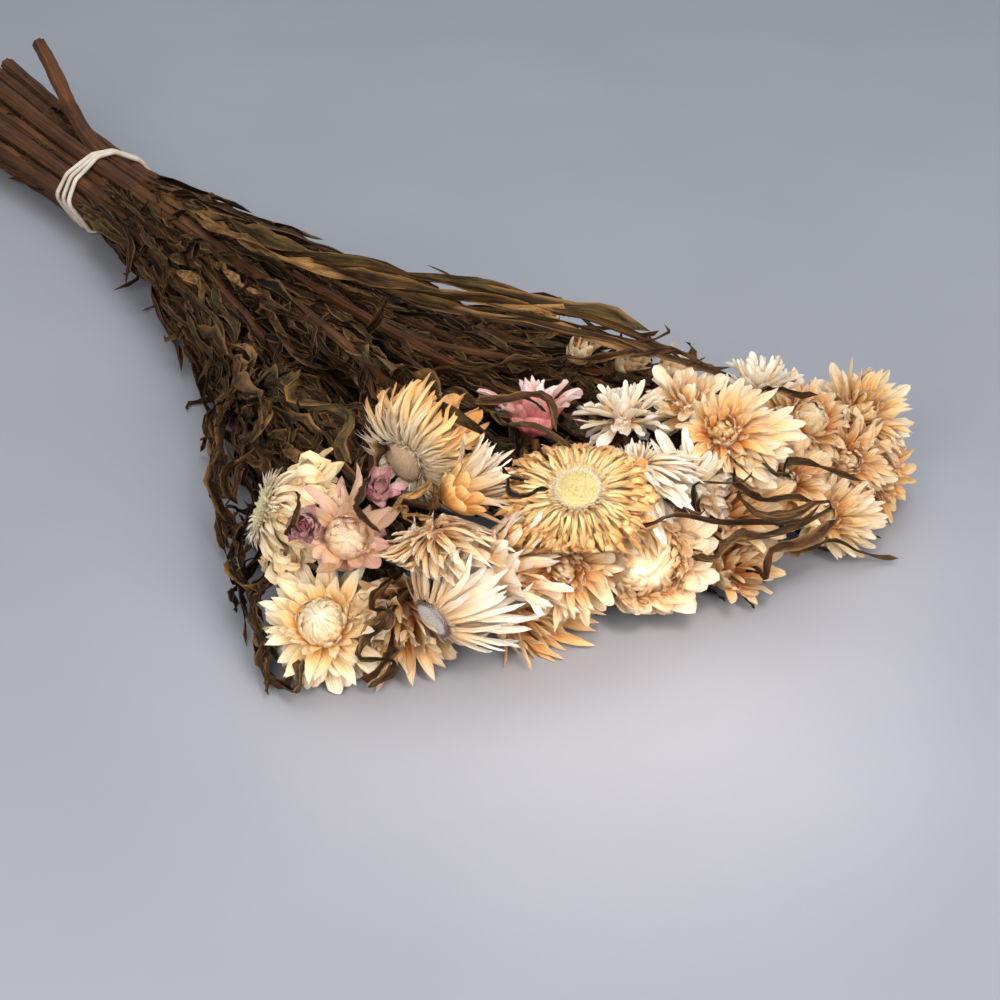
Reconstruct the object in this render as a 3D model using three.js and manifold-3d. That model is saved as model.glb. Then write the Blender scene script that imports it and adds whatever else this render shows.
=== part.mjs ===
// A bunch of dried strawflowers, laid on its side and held by an elastic band: leafy stems that are
// packed tight at the band, fan out flat towards the blooms, and end on the other side in bare cut ends.
//
// Millimetres. +X runs across the fan, +Y from the blooms towards the cut ends, +Z up from the surface
// that the bunch lies on. The origin is under the middle of the bunch.
import * as THREE from "three";
import { mergeVertices } from "three/addons/utils/BufferGeometryUtils.js";
import Module from "manifold-3d";

const wasm = await Module();
wasm.setup();

// ---- Driving dimensions -------------------------------------------------------------------------

const CLEARANCE = 0.3; // air left between pieces that touch
const BAND_Y = 345; // the band lies this far from the middle of the blooms
const STEM_R = 3.6; // a stem's ribs at the band and beyond, from its axis
const NECK_R = 1.6; // a stem where it enters its bloom
const STEM_PITCH = 6.6; // axis to axis, where the band packs the stems
const BAND_ROWS = [4, 5, 6, 5, 2]; // stems in each layer at the band, from the surface up
const CUT_LENGTH = 116; // band to the shortest cut end
const CUT_SCATTER = 26; // how unevenly the ends are cut
const CUT_SPREAD = 1.45; // the bare ends stand this much wider than at the band
const STRAND_R = 1; // half the thickness of one turn of the elastic
const STRAND_TURNS = 3;
const STRAND_STEPS = 26;
const STRAND_SIDES = 5;
const BLADE_RIDGE = 1.25; // a leaf's or bract's thickness along its middle
const LEAF_PAIRS = 6; // on each stem
const LEAF_FOOT = 3; // how much of the stem a leaf's foot takes
const NECK_LENGTH = 3; // the last bit of a stem, which turns into its bloom
const SHOOT_NECK_R = 1.35;
const NOD = 0.12; // how much a stem's end already follows its bloom's face
const BUD_LENGTH = 15;
const PRESSED = 0.4; // how far what lies on the surface is pressed flat

const FIRST_LAYER_Z = STEM_R + CLEARANCE + 1.75 * STRAND_R; // the stems lie on the band's lowest run
const LAYER_RISE = STEM_PITCH * Math.sin(Math.PI / 3);

// ---- Colours ------------------------------------------------------------------------------------

const FINISHES = {
  cream: { color: 0xf3e2bd, roughness: 0.62, metalness: 0 },
  ivory: { color: 0xf4ead2, roughness: 0.62, metalness: 0 },
  peach: { color: 0xefc79a, roughness: 0.62, metalness: 0 },
  orange: { color: 0xe9ae66, roughness: 0.62, metalness: 0 },
  pink: { color: 0xdba79c, roughness: 0.62, metalness: 0 },
  disc: { color: 0xcdb98a, roughness: 0.95, metalness: 0 },
  foliage: { color: 0x5b4a30, roughness: 0.85, metalness: 0 },
  elastic: { color: 0xe6dfcf, roughness: 0.55, metalness: 0 },
};

// ---- Forms of bloom -----------------------------------------------------------------------------
// Lengths are shares of the bloom's spread. A core has rings of points, each [along the axis, radius],
// from the neck to the front, each ring turned half a side against the last, and ends in a tip. A whorl of
// bracts grows from the facets ahead of ring number after; each bract leans away from the axis by lean
// degrees and bends by curl more on its way out. bends is where along it the bract has its joints.

const STRAIGHT = [0.55];
const CURLED = [0.4, 0.78];

const FORMS = {
  // The middle bracts are still closed over the florets in a dome, the outer ones lie open.
  domed: {
    sides: 8,
    core: { rings: [[-0.28, 0.04], [-0.14, 0.12], [-0.03, 0.19], [0.09, 0.19], [0.19, 0.12]], tip: 0.25 },
    whorls: [
      { after: 0, lean: 104, curl: 12, length: 0.4, width: 0.2, bends: STRAIGHT },
      { after: 1, lean: 80, curl: 14, length: 0.37, width: 0.21, bends: STRAIGHT },
      { after: 2, lean: 46, curl: 16, length: 0.34, width: 0.17, bends: STRAIGHT },
    ],
  },
  // All the bracts are bent back from a bare disc.
  reflexed: {
    sides: 9,
    core: { rings: [[-0.3, 0.04], [-0.16, 0.1], [-0.06, 0.16], [0.04, 0.19]], tip: 0.045 },
    whorls: [
      { after: 0, lean: 122, curl: 20, length: 0.44, width: 0.15, bends: STRAIGHT },
      { after: 1, lean: 98, curl: 34, length: 0.42, width: 0.15, bends: CURLED },
      { after: 2, lean: 72, curl: 44, length: 0.36, width: 0.13, bends: CURLED },
    ],
    disc: { radius: 0.17, rise: 0.07, along: 0.045 },
  },
  // A shuttlecock: long bracts swept straight back round the neck.
  swept: {
    sides: 9,
    core: { rings: [[-0.3, 0.05], [-0.16, 0.09], [-0.05, 0.15], [0.05, 0.19]], tip: 0.055 },
    whorls: [
      { after: 0, lean: 150, curl: -12, length: 0.6, width: 0.11, bends: STRAIGHT },
      { after: 1, lean: 134, curl: 0, length: 0.7, width: 0.14, bends: CURLED },
      { after: 2, lean: 108, curl: 26, length: 0.66, width: 0.14, bends: CURLED },
    ],
    disc: { radius: 0.18, rise: 0.05, along: 0.055 },
  },
  // Half open: the bracts still stand forward round the middle.
  cup: {
    sides: 7,
    core: { rings: [[-0.5, 0.05], [-0.36, 0.18], [-0.2, 0.24], [-0.02, 0.2]], tip: 0.12 },
    whorls: [
      { after: 0, lean: 60, curl: -16, length: 0.74, width: 0.24, bends: STRAIGHT },
      { after: 1, lean: 28, curl: -4, length: 0.76, width: 0.22, bends: STRAIGHT },
      { after: 2, lean: 14, curl: 0, length: 0.5, width: 0.14, bends: STRAIGHT },
    ],
  },
  // A few broad pointed bracts, wide open.
  star: {
    sides: 7,
    core: { rings: [[-0.3, 0.05], [-0.16, 0.13], [-0.02, 0.16], [0.09, 0.11]], tip: 0.14 },
    whorls: [
      { after: 0, lean: 92, curl: 4, length: 0.46, width: 0.24, bends: STRAIGHT },
      { after: 1, lean: 58, curl: 8, length: 0.46, width: 0.21, bends: STRAIGHT },
    ],
  },
  // Many narrow bracts round a loose whorl.
  rayed: {
    sides: 10,
    core: { rings: [[-0.28, 0.04], [-0.15, 0.1], [-0.04, 0.16], [0.08, 0.15]], tip: 0.14 },
    whorls: [
      { after: 0, lean: 100, curl: 12, length: 0.42, width: 0.15, bends: STRAIGHT },
      { after: 1, lean: 74, curl: 14, length: 0.41, width: 0.14, bends: STRAIGHT },
      { after: 2, lean: 40, curl: 20, length: 0.34, width: 0.1, bends: STRAIGHT },
    ],
  },
  bud: {
    sides: 5,
    core: { rings: [[-0.5, 0.08], [-0.3, 0.22], [0, 0.24], [0.25, 0.13]], tip: 0.36 },
    whorls: [{ after: 1, lean: 22, curl: -8, length: 0.52, width: 0.2, bends: STRAIGHT }],
  },
};

// ---- Blooms and buds ----------------------------------------------------------------------------

// at: the middle of the bloom. faces: where its open side looks. spread: its width, or a bud's length.
// stem: layer and place at the band. from: where a bloom on a side shoot leaves that stem, as a share of
// the way from the band to the stem's own bloom.
function flower(name, at, faces, spread, form, tint, stem, from) {
  return { name, at, faces, spread, form, tint, stem, from };
}

const BLOOMS = [
  flower("bloom_01", [-112, -19, 21], [-0.48, -0.42, 0.77], 41, "domed", "cream", [1, 0]),
  flower("bloom_02", [-108, 20, 43], [-0.84, 0.32, 0.43], 44, "reflexed", "cream", [2, 0]),
  flower("bloom_03", [-100, -17, 48], [-0.45, -0.75, 0.45], 38, "domed", "pink", [3, 0]),
  flower("bloom_04", [-60, 6, 56], [-0.8, -0.58, 0.05], 42, "reflexed", "cream", [4, 0]),
  flower("bloom_05", [-57, -29, 61], [0.66, -0.54, 0.5], 20, "cup", "cream", [3, 1], 0.78),
  flower("bloom_06", [-36, -53, 60], [-0.3, -0.35, 0.89], 46, "reflexed", "orange", [3, 2]),
  flower("bloom_07", [-84, -44, 27], [-0.94, -0.13, -0.32], 38, "swept", "ivory", [1, 1]),
  flower("bloom_08", [-55, -47, 39], [0.35, -0.81, 0.39], 27, "cup", "ivory", [2, 1]),
  flower("bloom_09", [-77, -32, 50], [-0.15, 0.44, 0.88], 42, "rayed", "cream", [3, 1]),
  flower("bloom_10", [-7, -55, 23], [-0.4, -0.88, 0.25], 45, "domed", "ivory", [1, 2]),
  flower("bloom_11", [27, -57, 14], [0.1, -0.73, 0.66], 22, "cup", "peach", [0, 2]),
  flower("bloom_12", [-4, -42, 54], [-0.06, 0.35, 0.84], 34, "star", "ivory", [3, 2], 0.66),
  flower("bloom_13", [10, -16, 60], [0.1, 0.4, 0.9], 24, "star", "ivory", [4, 1]),
  flower("bloom_14", [32, -44, 56], [-0.62, -0.28, 0.69], 44, "rayed", "cream", [3, 3]),
  flower("bloom_15", [14, -46, 42], [-0.45, -0.8, 0.4], 32, "rayed", "ivory", [2, 3]),
  flower("bloom_16", [28, -54, 33], [0.04, -0.73, 0.68], 24, "cup", "peach", [1, 3]),
  flower("bloom_17", [77, -36, 44], [-0.02, -0.64, 0.77], 32, "domed", "peach", [3, 4]),
  flower("bloom_18", [70, -16, 52], [0.22, 0.32, 0.92], 29, "star", "ivory", [3, 4], 0.68),
  flower("bloom_19", [103, -33, 37], [0.07, -0.67, 0.74], 42, "rayed", "peach", [2, 5]),
  flower("bloom_20", [88, -44, 28], [-0.2, -0.85, 0.45], 28, "domed", "peach", [2, 5], 0.72),
  flower("bloom_21", [107, -42, 14], [0.19, -0.95, 0.1], 27, "star", "orange", [1, 4]),
  flower("bloom_22", [56, -49, 32], [-0.81, -0.11, 0.44], 31, "rayed", "peach", [2, 4]),
  flower("bloom_23", [72, -54, 15], [-0.5, -0.5, 0.7], 31, "rayed", "cream", [0, 3]),
  flower("bloom_24", [-40, -52, 34], [-0.78, -0.6, 0.08], 32, "domed", "peach", [2, 2]),
  flower("bloom_25", [-46, -40, 12], [-0.08, -0.99, -0.08], 26, "cup", "orange", [0, 1]),
  flower("bloom_26", [-90, -27, 16], [-0.85, -0.52, 0.01], 34, "domed", "cream", [0, 0]),
  flower("bloom_27", [-14, 1, 60], [-0.3, -0.45, 0.84], 30, "star", "pink", [4, 1], 0.74),
  flower("bloom_28", [36, -20, 57], [0, -0.3, 0.95], 26, "star", "cream", [3, 3], 0.72),
  flower("bud_1", [32, 37, 54], [0.1, -0.6, 0.79], BUD_LENGTH, "bud", "cream", [4, 1], 0.55),
  flower("bud_2", [43, 22, 53], [0.3, -0.7, 0.64], BUD_LENGTH, "bud", "cream", [3, 3], 0.58),
  flower("bud_3", [55, 14, 49], [0.4, -0.7, 0.59], BUD_LENGTH, "bud", "cream", [3, 4], 0.56),
  flower("bud_4", [-84, -10, 57], [-0.2, -0.6, 0.77], BUD_LENGTH, "bud", "pink", [4, 0], 0.72),
  flower("bud_5", [-115, -16, 57], [-0.5, -0.7, 0.5], BUD_LENGTH, "bud", "pink", [3, 0], 0.78),
];

// How far a stem bows sideways and upwards halfway, to pass its neighbours.
const BOWS = {
  "0,0": [0, -5],
  "0,1": [0, -5],
  "0,2": [0, -5],
  "0,3": [0, -5],
  "1,1": [-6, -8],
  "2,1": [6, 2],
  "2,2": [3, -4],
  "3,0": [-2, 1],
  "3,1": [-4, 8],
};

// The cut ends that stand clear of the rest: layer, place, and how far up and out they point.
const STRAY_ENDS = { "4,1": { shorter: 18, aside: 14, up: 14 } };

// ---- Small helpers ------------------------------------------------------------------------------

const X = new THREE.Vector3(1, 0, 0);
const Y = new THREE.Vector3(0, 1, 0);
const Z = new THREE.Vector3(0, 0, 1);

// A repeatable draw in 0..1 for the third thing of the second kind on the first piece.
function draw(piece, kind, index) {
  const wave = Math.sin(piece * 12.9898 + kind * 78.233 + index * 37.719) * 43758.5453;
  return wave - Math.floor(wave);
}

function vector(values) {
  return new THREE.Vector3(...values);
}

function list(count, make) {
  return Array.from({ length: count }, (_, i) => make(i));
}

// The end of several steps from a start: offset(start, directionA, lengthA, directionB, lengthB).
function offset(start, ...moves) {
  const point = start.clone();
  for (let i = 0; i < moves.length; i += 2) point.addScaledVector(moves[i], moves[i + 1]);
  return point;
}

// The point at share t of a cubic from a, leaving along leave, to b, arriving along arrive.
function cubic(a, leave, b, arrive, t) {
  const t2 = t * t;
  const t3 = t2 * t;
  return new THREE.Vector3()
    .addScaledVector(a, 2 * t3 - 3 * t2 + 1)
    .addScaledVector(leave, t3 - 2 * t2 + t)
    .addScaledVector(b, 3 * t2 - 2 * t3)
    .addScaledVector(arrive, t3 - t2);
}

function solidOf(points, faces) {
  const geometry = new THREE.BufferGeometry();
  const values = points.flatMap((point) => point.toArray());
  geometry.setAttribute("position", new THREE.Float32BufferAttribute(values, 3));
  geometry.setIndex(faces.flat());
  const merged = mergeVertices(geometry, 1e-4);
  return new wasm.Manifold(
    new wasm.Mesh({
      numProp: 3,
      vertProperties: Float32Array.from(merged.attributes.position.array),
      triVerts: Uint32Array.from(merged.index.array),
    }),
  );
}

function geometryOf(solid) {
  const mesh = solid.getMesh();
  const positions = new Float32Array(mesh.numVert * 3);
  for (let i = 0; i < mesh.numVert; i++) {
    positions.set(mesh.vertProperties.subarray(i * mesh.numProp, i * mesh.numProp + 3), i * 3);
  }
  const geometry = new THREE.BufferGeometry();
  geometry.setAttribute("position", new THREE.BufferAttribute(positions, 3));
  geometry.setIndex(new THREE.BufferAttribute(Uint32Array.from(mesh.triVerts), 1));
  geometry.computeVertexNormals();
  return geometry;
}

// ---- A skin that blades grow from ---------------------------------------------------------------

// Points and outward triangles of one closed body. A blade grows out of a triangle [left, right, ridge],
// so it is one body with what carries it.
class Skin {
  constructor() {
    this.points = [];
    this.faces = [];
  }

  add(point) {
    return this.points.push(point) - 1;
  }

  addRing(points) {
    return points.map((point) => this.add(point));
  }

  face(a, b, c) {
    this.faces.push([a, b, c]);
  }

  // Two triangles over four corners, folded outwards, so that the faces of a twisted blade never cross.
  panel(a, b, c, d) {
    const [from, ...others] = [a, b, c, d].map((corner) => this.points[corner]);
    const [ab, ac, ad] = others.map((point) => point.clone().sub(from));
    if (ab.cross(ac).dot(ad) > 0) {
      this.face(a, b, d);
      this.face(b, c, d);
    } else {
      this.face(a, b, c);
      this.face(a, c, d);
    }
  }

  // The blade over a root triangle: a ring of three points at each station, and a tip.
  grow(root, stations, tip) {
    let ring = root;
    for (const station of stations) {
      const next = this.addRing(bladeRing(station));
      for (let c = 0; c < 3; c++) {
        const d = (c + 1) % 3;
        this.panel(ring[c], ring[d], next[d], next[c]);
      }
      ring = next;
    }
    const end = this.add(tip);
    for (let c = 0; c < 3; c++) this.face(ring[c], ring[(c + 1) % 3], end);
  }

  solid() {
    return solidOf(this.points, this.faces);
  }
}

// Both edges and the ridge of a blade where it passes a point, heading ahead, with its width along side.
function bladeRing({ point, ahead, side, width }) {
  const up = new THREE.Vector3().crossVectors(ahead, side);
  const half = width / 2;
  return [offset(point, side, -half), offset(point, side, half), offset(point, up, BLADE_RIDGE)];
}

// The blade alone, closed at its root, to test where it would go.
function bladeSolid(rootPoints, stations, tip) {
  const skin = new Skin();
  const root = skin.addRing(rootPoints);
  skin.face(root[0], root[2], root[1]);
  skin.grow(root, stations, tip);
  return skin.solid();
}

// ---- Pieces that are already placed, so that the next one can be bent clear of them -------------

const placed = [];

function boxOf(solid) {
  const { min, max } = solid.boundingBox();
  return new THREE.Box3(vector(min), vector(max));
}

function place(node, solid) {
  placed.push({ node, solid, box: boxOf(solid).expandByScalar(CLEARANCE) });
}

// A blade keeps off other nodes' pieces, and doesn't pass through its own node's.
function isClear(node, solid) {
  if (solid.volume() <= 0) return false;
  const box = boxOf(solid);
  return placed.every((other) => {
    if (!other.box.intersectsBox(box)) return true;
    if (other.node === node) return solid.intersect(other.solid).volume() < 1e-4;
    return solid.minGap(other.solid, 1) > CLEARANCE;
  });
}

// ---- Stems --------------------------------------------------------------------------------------

function bandPlace(layer, index) {
  const x = (index - (BAND_ROWS[layer] - 1) / 2) * STEM_PITCH;
  return new THREE.Vector3(x, BAND_Y, FIRST_LAYER_Z + layer * LAYER_RISE);
}

// Where a bloom's neck meets its stem, and where the stem starts to turn into it.
function neckOf(bloom) {
  const face = vector(bloom.faces).normalize();
  const back = -FORMS[bloom.form].core.rings[0][0] * bloom.spread + CLEARANCE;
  const end = offset(vector(bloom.at), face, -back);
  return { end, bend: offset(end, face, -NECK_LENGTH) };
}

function towards(from, to, bloom) {
  return to.clone().sub(from).normalize().addScaledVector(vector(bloom.faces), NOD).normalize();
}

function mainCurve(stem) {
  const start = bandPlace(...stem.seat);
  const end = neckOf(stem.bloom).bend;
  const run = end.distanceTo(start);
  const arrive = towards(start, end, stem.bloom).multiplyScalar(0.8 * run);
  const leave = new THREE.Vector3(0, -run, 0);
  const bow = new THREE.Vector3(stem.bow[0], 0, stem.bow[1]);
  return (t) => cubic(start, leave, end, arrive, t).addScaledVector(bow, Math.sin(Math.PI * t) ** 2);
}

function cutCurve(stem) {
  const start = bandPlace(...stem.seat);
  const stray = STRAY_ENDS[stem.seat.join()] ?? { shorter: 0, aside: 0, up: 0 };
  const length = CUT_LENGTH + CUT_SCATTER * draw(stem.number, 1, 0) - stray.shorter;
  const rise = (start.z - FIRST_LAYER_Z) * CUT_SPREAD + STEM_R - PRESSED;
  const end = new THREE.Vector3(start.x * CUT_SPREAD + stray.aside, BAND_Y + length, rise + stray.up);
  const leave = new THREE.Vector3(0, length, 0);
  const arrive = end.clone().sub(start);
  return (t) => cubic(start, leave, end, arrive, t);
}

// A side shoot leaves its stem along it and bends away to its own bloom.
function shootOf(stem, bloom) {
  const start = stem.curve(bloom.from);
  const end = neckOf(bloom).bend;
  const run = end.distanceTo(start);
  const leave = stem.curve(bloom.from + 0.02).sub(start).normalize().multiplyScalar(run);
  const arrive = towards(start, end, bloom).multiplyScalar(0.8 * run);
  return { bloom, root: 0.75 * stemRadius(bloom.from), curve: (t) => cubic(start, leave, end, arrive, t) };
}

function stemRadius(t) {
  return STEM_R + (NECK_R - STEM_R) * t ** 0.8;
}

// A ribbed rod through points. Its ribs are turned so that packed stems face each other with their flats.
// Returns its skin, its rings, and the directions its facets face at each ring.
function rodSkin(points, radii, sides) {
  const skin = new Skin();
  let up = Z.clone();
  const rings = points.map((point, i) => {
    const before = point.clone().sub(points[Math.max(i - 1, 0)]).normalize();
    const after = points[Math.min(i + 1, points.length - 1)].clone().sub(point).normalize();
    const ahead = before.add(after).normalize();
    const side = new THREE.Vector3().crossVectors(ahead, up).normalize();
    up = new THREE.Vector3().crossVectors(side, ahead).normalize();
    const towardsTurn = (turn) => offset(new THREE.Vector3(), side, Math.cos(turn), up, Math.sin(turn));
    const corners = skin.addRing(
      list(sides, (k) => offset(point, towardsTurn((2 * Math.PI * k) / sides + Math.PI / 6), radii[i])),
    );
    const facets = list(sides, (k) => towardsTurn((2 * Math.PI * (k + 0.5)) / sides + Math.PI / 6));
    return { corners, facets };
  });
  return { skin, rings };
}

// Closes the rod. grown says which facets already carry a leaf, as "ring,side".
function closeRod({ skin, rings }, grown = new Set()) {
  const sides = rings[0].corners.length;
  for (let r = 0; r + 1 < rings.length; r++) {
    for (let k = 0; k < sides; k++) {
      const l = (k + 1) % sides;
      const here = rings[r].corners;
      const next = rings[r + 1].corners;
      skin.face(here[l], here[k], next[k]);
      if (!grown.has([r, k].join())) skin.face(here[l], next[k], next[l]);
    }
  }
  const first = rings[0].corners;
  const last = rings[rings.length - 1].corners;
  for (let k = 1; k + 1 < sides; k++) {
    skin.face(first[0], first[k], first[k + 1]);
    skin.face(last[0], last[k + 1], last[k]);
  }
  return skin.solid();
}

function layOutStems() {
  const mains = BLOOMS.filter((bloom) => bloom.from === undefined);
  return mains
    .map((bloom) => ({ bloom, seat: bloom.stem, bow: BOWS[bloom.stem.join()] ?? [0, 0] }))
    .sort((a, b) => a.seat[0] - b.seat[0] || a.seat[1] - b.seat[1])
    .map((stem, i) => {
      stem.number = i + 1;
      stem.name = `leafy_stem_${String(stem.number).padStart(2, "0")}`;
      stem.curve = mainCurve(stem);
      stem.cut = cutCurve(stem);
      stem.shoots = BLOOMS.filter((bloom) => bloom.from !== undefined)
        .filter((bloom) => bloom.stem.join() === stem.seat.join())
        .map((bloom) => shootOf(stem, bloom));
      return stem;
    });
}

// The stem's rings: its cut end, the band, two close together at each leaf pair, and its neck.
function stemRod(stem) {
  const run = stem.curve(0).distanceTo(stem.curve(1));
  const slices = [1, 0.5].map((t) => ({ point: stem.cut(t), radius: STEM_R }));
  slices.push({ point: stem.curve(0), radius: STEM_R });
  stem.leafRings = [];
  for (let pair = 0; pair < LEAF_PAIRS; pair++) {
    const t = leafShare(stem, pair);
    stem.leafRings.push(slices.length);
    slices.push({ point: stem.curve(t), radius: stemRadius(t), t });
    slices.push({ point: stem.curve(t + LEAF_FOOT / run), radius: stemRadius(t), t });
  }
  slices.push({ point: stem.curve(1), radius: NECK_R }, { point: neckOf(stem.bloom).end, radius: NECK_R });
  return rodSkin(
    slices.map((slice) => slice.point),
    slices.map((slice) => slice.radius),
    6,
  );
}

function shootSolid(shoot) {
  const shares = [0, 0.33, 0.66, 1];
  const points = [...shares.map(shoot.curve), neckOf(shoot.bloom).end];
  const radii = [...shares.map((t) => THREE.MathUtils.lerp(shoot.root, SHOOT_NECK_R, t)), SHOOT_NECK_R];
  return closeRod(rodSkin(points, radii, 4));
}

// ---- Blooms -------------------------------------------------------------------------------------

function axesOf(bloom) {
  const face = vector(bloom.faces).normalize();
  const across = new THREE.Vector3().crossVectors(Math.abs(face.z) > 0.9 ? X : Z, face).normalize();
  return { face, across, over: new THREE.Vector3().crossVectors(face, across) };
}

// The core's rings of points, and the directions out of its axis that they stand in.
function coreSkin(bloom, { rings, tip }, sides) {
  const { face, across, over } = axesOf(bloom);
  const skin = new Skin();
  const outward = (ring, index) => {
    const turn = (2 * Math.PI * (index + (ring % 2) / 2)) / sides;
    return offset(new THREE.Vector3(), across, Math.cos(turn), over, Math.sin(turn));
  };
  const corners = rings.map(([along, radius], r) => {
    const middle = offset(vector(bloom.at), face, along * bloom.spread);
    return skin.addRing(list(sides, (i) => offset(middle, outward(r, i), radius * bloom.spread)));
  });
  return { skin, corners, outward, face, front: offset(vector(bloom.at), face, tip * bloom.spread) };
}

// Closes the core. grown says which facets carry a bract, as "ring,side".
function closeCore({ skin, corners, front }, sides, grown = new Set()) {
  for (let i = 1; i + 1 < sides; i++) skin.face(corners[0][0], corners[0][i + 1], corners[0][i]);
  for (let r = 0; r + 1 < corners.length; r++) {
    for (let i = 0; i < sides; i++) {
      const { wide, narrow } = facets(corners, r, i, sides);
      skin.face(...wide);
      if (!grown.has([r, i].join())) skin.face(...narrow);
    }
  }
  const last = corners[corners.length - 1];
  const end = skin.add(front);
  for (let i = 0; i < sides; i++) skin.face(last[i], last[(i + 1) % sides], end);
  return skin.solid();
}

// The two triangles ahead of point i of ring r: wide has its base on ring r, narrow on the next ring.
function facets(corners, r, i, sides) {
  const shift = r % 2;
  const next = corners[r + 1];
  const before = next[(i + shift + sides - 1) % sides];
  const after = next[(i + shift) % sides];
  return {
    wide: [corners[r][i], corners[r][(i + 1) % sides], after],
    narrow: [after, before, corners[r][i]],
  };
}

// How a bract that meets a neighbour tries again: leaning less or more, and shorter.
const BRACT_TRIALS = [
  { lean: 0, size: 1 },
  { lean: -9, size: 1 },
  { lean: 9, size: 0.92 },
  { lean: -16, size: 0.85 },
  { lean: 0, size: 0.75 },
  { lean: -20, size: 0.65 },
  { lean: 12, size: 0.6 },
  { lean: -8, size: 0.5 },
];

function bractCourse(bloom, number, whorl, whorlIndex, index, trial, rootPoint, out, face) {
  const side = new THREE.Vector3().crossVectors(out, face);
  const uneven = 0.92 + 0.16 * draw(number, 10 + whorlIndex, index);
  const length = whorl.length * bloom.spread * uneven * trial.size;
  const lean = whorl.lean + trial.lean + 6 * (draw(number, 14 + whorlIndex, index) - 0.5);
  const point = rootPoint.clone();
  const stations = [];
  let reached = 0;
  for (const share of [...whorl.bends, 1]) {
    const angle = THREE.MathUtils.degToRad(lean + (whorl.curl * (share + reached)) / 2);
    const ahead = offset(new THREE.Vector3(), face, Math.cos(angle), out, Math.sin(angle));
    point.addScaledVector(ahead, length * (share - reached));
    if (share < 1) stations.push({ point: point.clone(), ahead, side, width: whorl.width * bloom.spread });
    reached = share;
  }
  return { stations, tip: point };
}

function bloomSolid(bloom, number) {
  const { core, sides, whorls } = FORMS[bloom.form];
  const grid = coreSkin(bloom, core, sides);
  const grown = new Set();
  whorls.forEach((whorl, whorlIndex) => {
    for (let i = 0; i < sides; i++) {
      const { narrow } = facets(grid.corners, whorl.after, i, sides);
      const rootPoints = narrow.map((corner) => grid.skin.points[corner]);
      const rootPoint = rootPoints[0].clone().lerp(rootPoints[1], 0.5);
      const out = grid.outward(whorl.after, i);
      for (const trial of BRACT_TRIALS) {
        const { stations, tip } = bractCourse(
          bloom, number, whorl, whorlIndex, i, trial, rootPoint, out, grid.face,
        );
        const bract = bladeSolid(rootPoints, stations, tip);
        if (!isClear(bloom.name, bract)) continue;
        place(bloom.name, bract);
        grid.skin.grow(narrow, stations, tip);
        grown.add([whorl.after, i].join());
        break;
      }
    }
  });
  return closeCore(grid, sides, grown);
}

function discSolid(bloom) {
  const { radius, rise, along } = FORMS[bloom.form].disc;
  const back = along + CLEARANCE / bloom.spread;
  const rings = [[back, 0.94 * radius], [back + 0.4 * rise, radius], [back + rise, 0.6 * radius]];
  return closeCore(coreSkin(bloom, { rings, tip: back + 1.15 * rise }, 9), 9);
}

// ---- Leaves -------------------------------------------------------------------------------------

// How a leaf that meets a neighbour tries again: from another side of the stem, and shorter.
const LEAF_TRIALS = [1, 0.78, 0.55].flatMap((size) => list(5, (turned) => ({ turned, size })));

function leafShare(stem, pair) {
  return 0.07 + (0.86 * (pair + 0.6 * draw(stem.number, 19, pair))) / LEAF_PAIRS;
}

function leafCourse(stem, index, t, out, trial) {
  const roll = (kind) => draw(stem.number, 20 + kind, index);
  const ahead = stem.curve(t + 0.01).sub(stem.curve(t - 0.01)).normalize();
  const flank = new THREE.Vector3().crossVectors(out, ahead).normalize();
  const length = (46 + 34 * roll(2)) * trial.size;
  const width = 6 + 4.5 * roll(3);
  const flare = 0.16 + 0.3 * roll(4);
  const sway = 0.16 * (roll(5) - 0.5);
  const twist = 2.4 * (roll(6) - 0.5);
  const root = stem.curve(t);
  const spine = (v) => {
    const lifted = length * flare * v * (1.15 - 0.75 * v) + stemRadius(t);
    const point = offset(root, ahead, length * v * (1 - 0.12 * v), out, lifted);
    point.addScaledVector(flank, length * sway * Math.sin(5 * v));
    point.z = Math.max(point.z, PRESSED);
    return point;
  };
  const stations = [0.3, 0.68].map((v) => {
    const heading = spine(v + 0.06).sub(spine(v - 0.06)).normalize();
    const side = flank.clone().applyAxisAngle(heading, twist * v);
    side.addScaledVector(heading, -side.dot(heading)).normalize();
    return { point: spine(v), ahead: heading, side, width: width * (1.15 - 0.4 * v) };
  });
  return { stations, tip: spine(1) };
}

function leafyStemSolid(stem) {
  const grown = new Set();
  const { skin, rings } = stem.rod;
  for (let index = 0; index < 2 * LEAF_PAIRS; index++) {
    const pair = Math.floor(index / 2);
    const ring = stem.leafRings[pair];
    const first = Math.floor(6 * draw(stem.number, 18, pair)) + 3 * (index % 2);
    for (const trial of LEAF_TRIALS) {
      const side = (first + [0, 1, 5, 2, 4][trial.turned]) % 6;
      const next = (side + 1) % 6;
      if ([side, next, (side + 5) % 6].some((s) => grown.has([ring, s].join()))) continue;
      const ahead = rings[ring + 1].corners;
      const root = [ahead[side], ahead[next], rings[ring].corners[next]];
      const out = rings[ring].facets[side];
      const { stations, tip } = leafCourse(stem, index, leafShare(stem, pair), out, trial);
      const leaf = bladeSolid(
        root.map((corner) => skin.points[corner]),
        stations,
        tip,
      );
      if (!isClear(stem.name, leaf)) continue;
      place(stem.name, leaf);
      skin.grow(root, stations, tip);
      grown.add([ring, side].join());
      break;
    }
  }
  return closeRod(stem.rod, grown);
}

// ---- The elastic band ---------------------------------------------------------------------------

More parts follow.
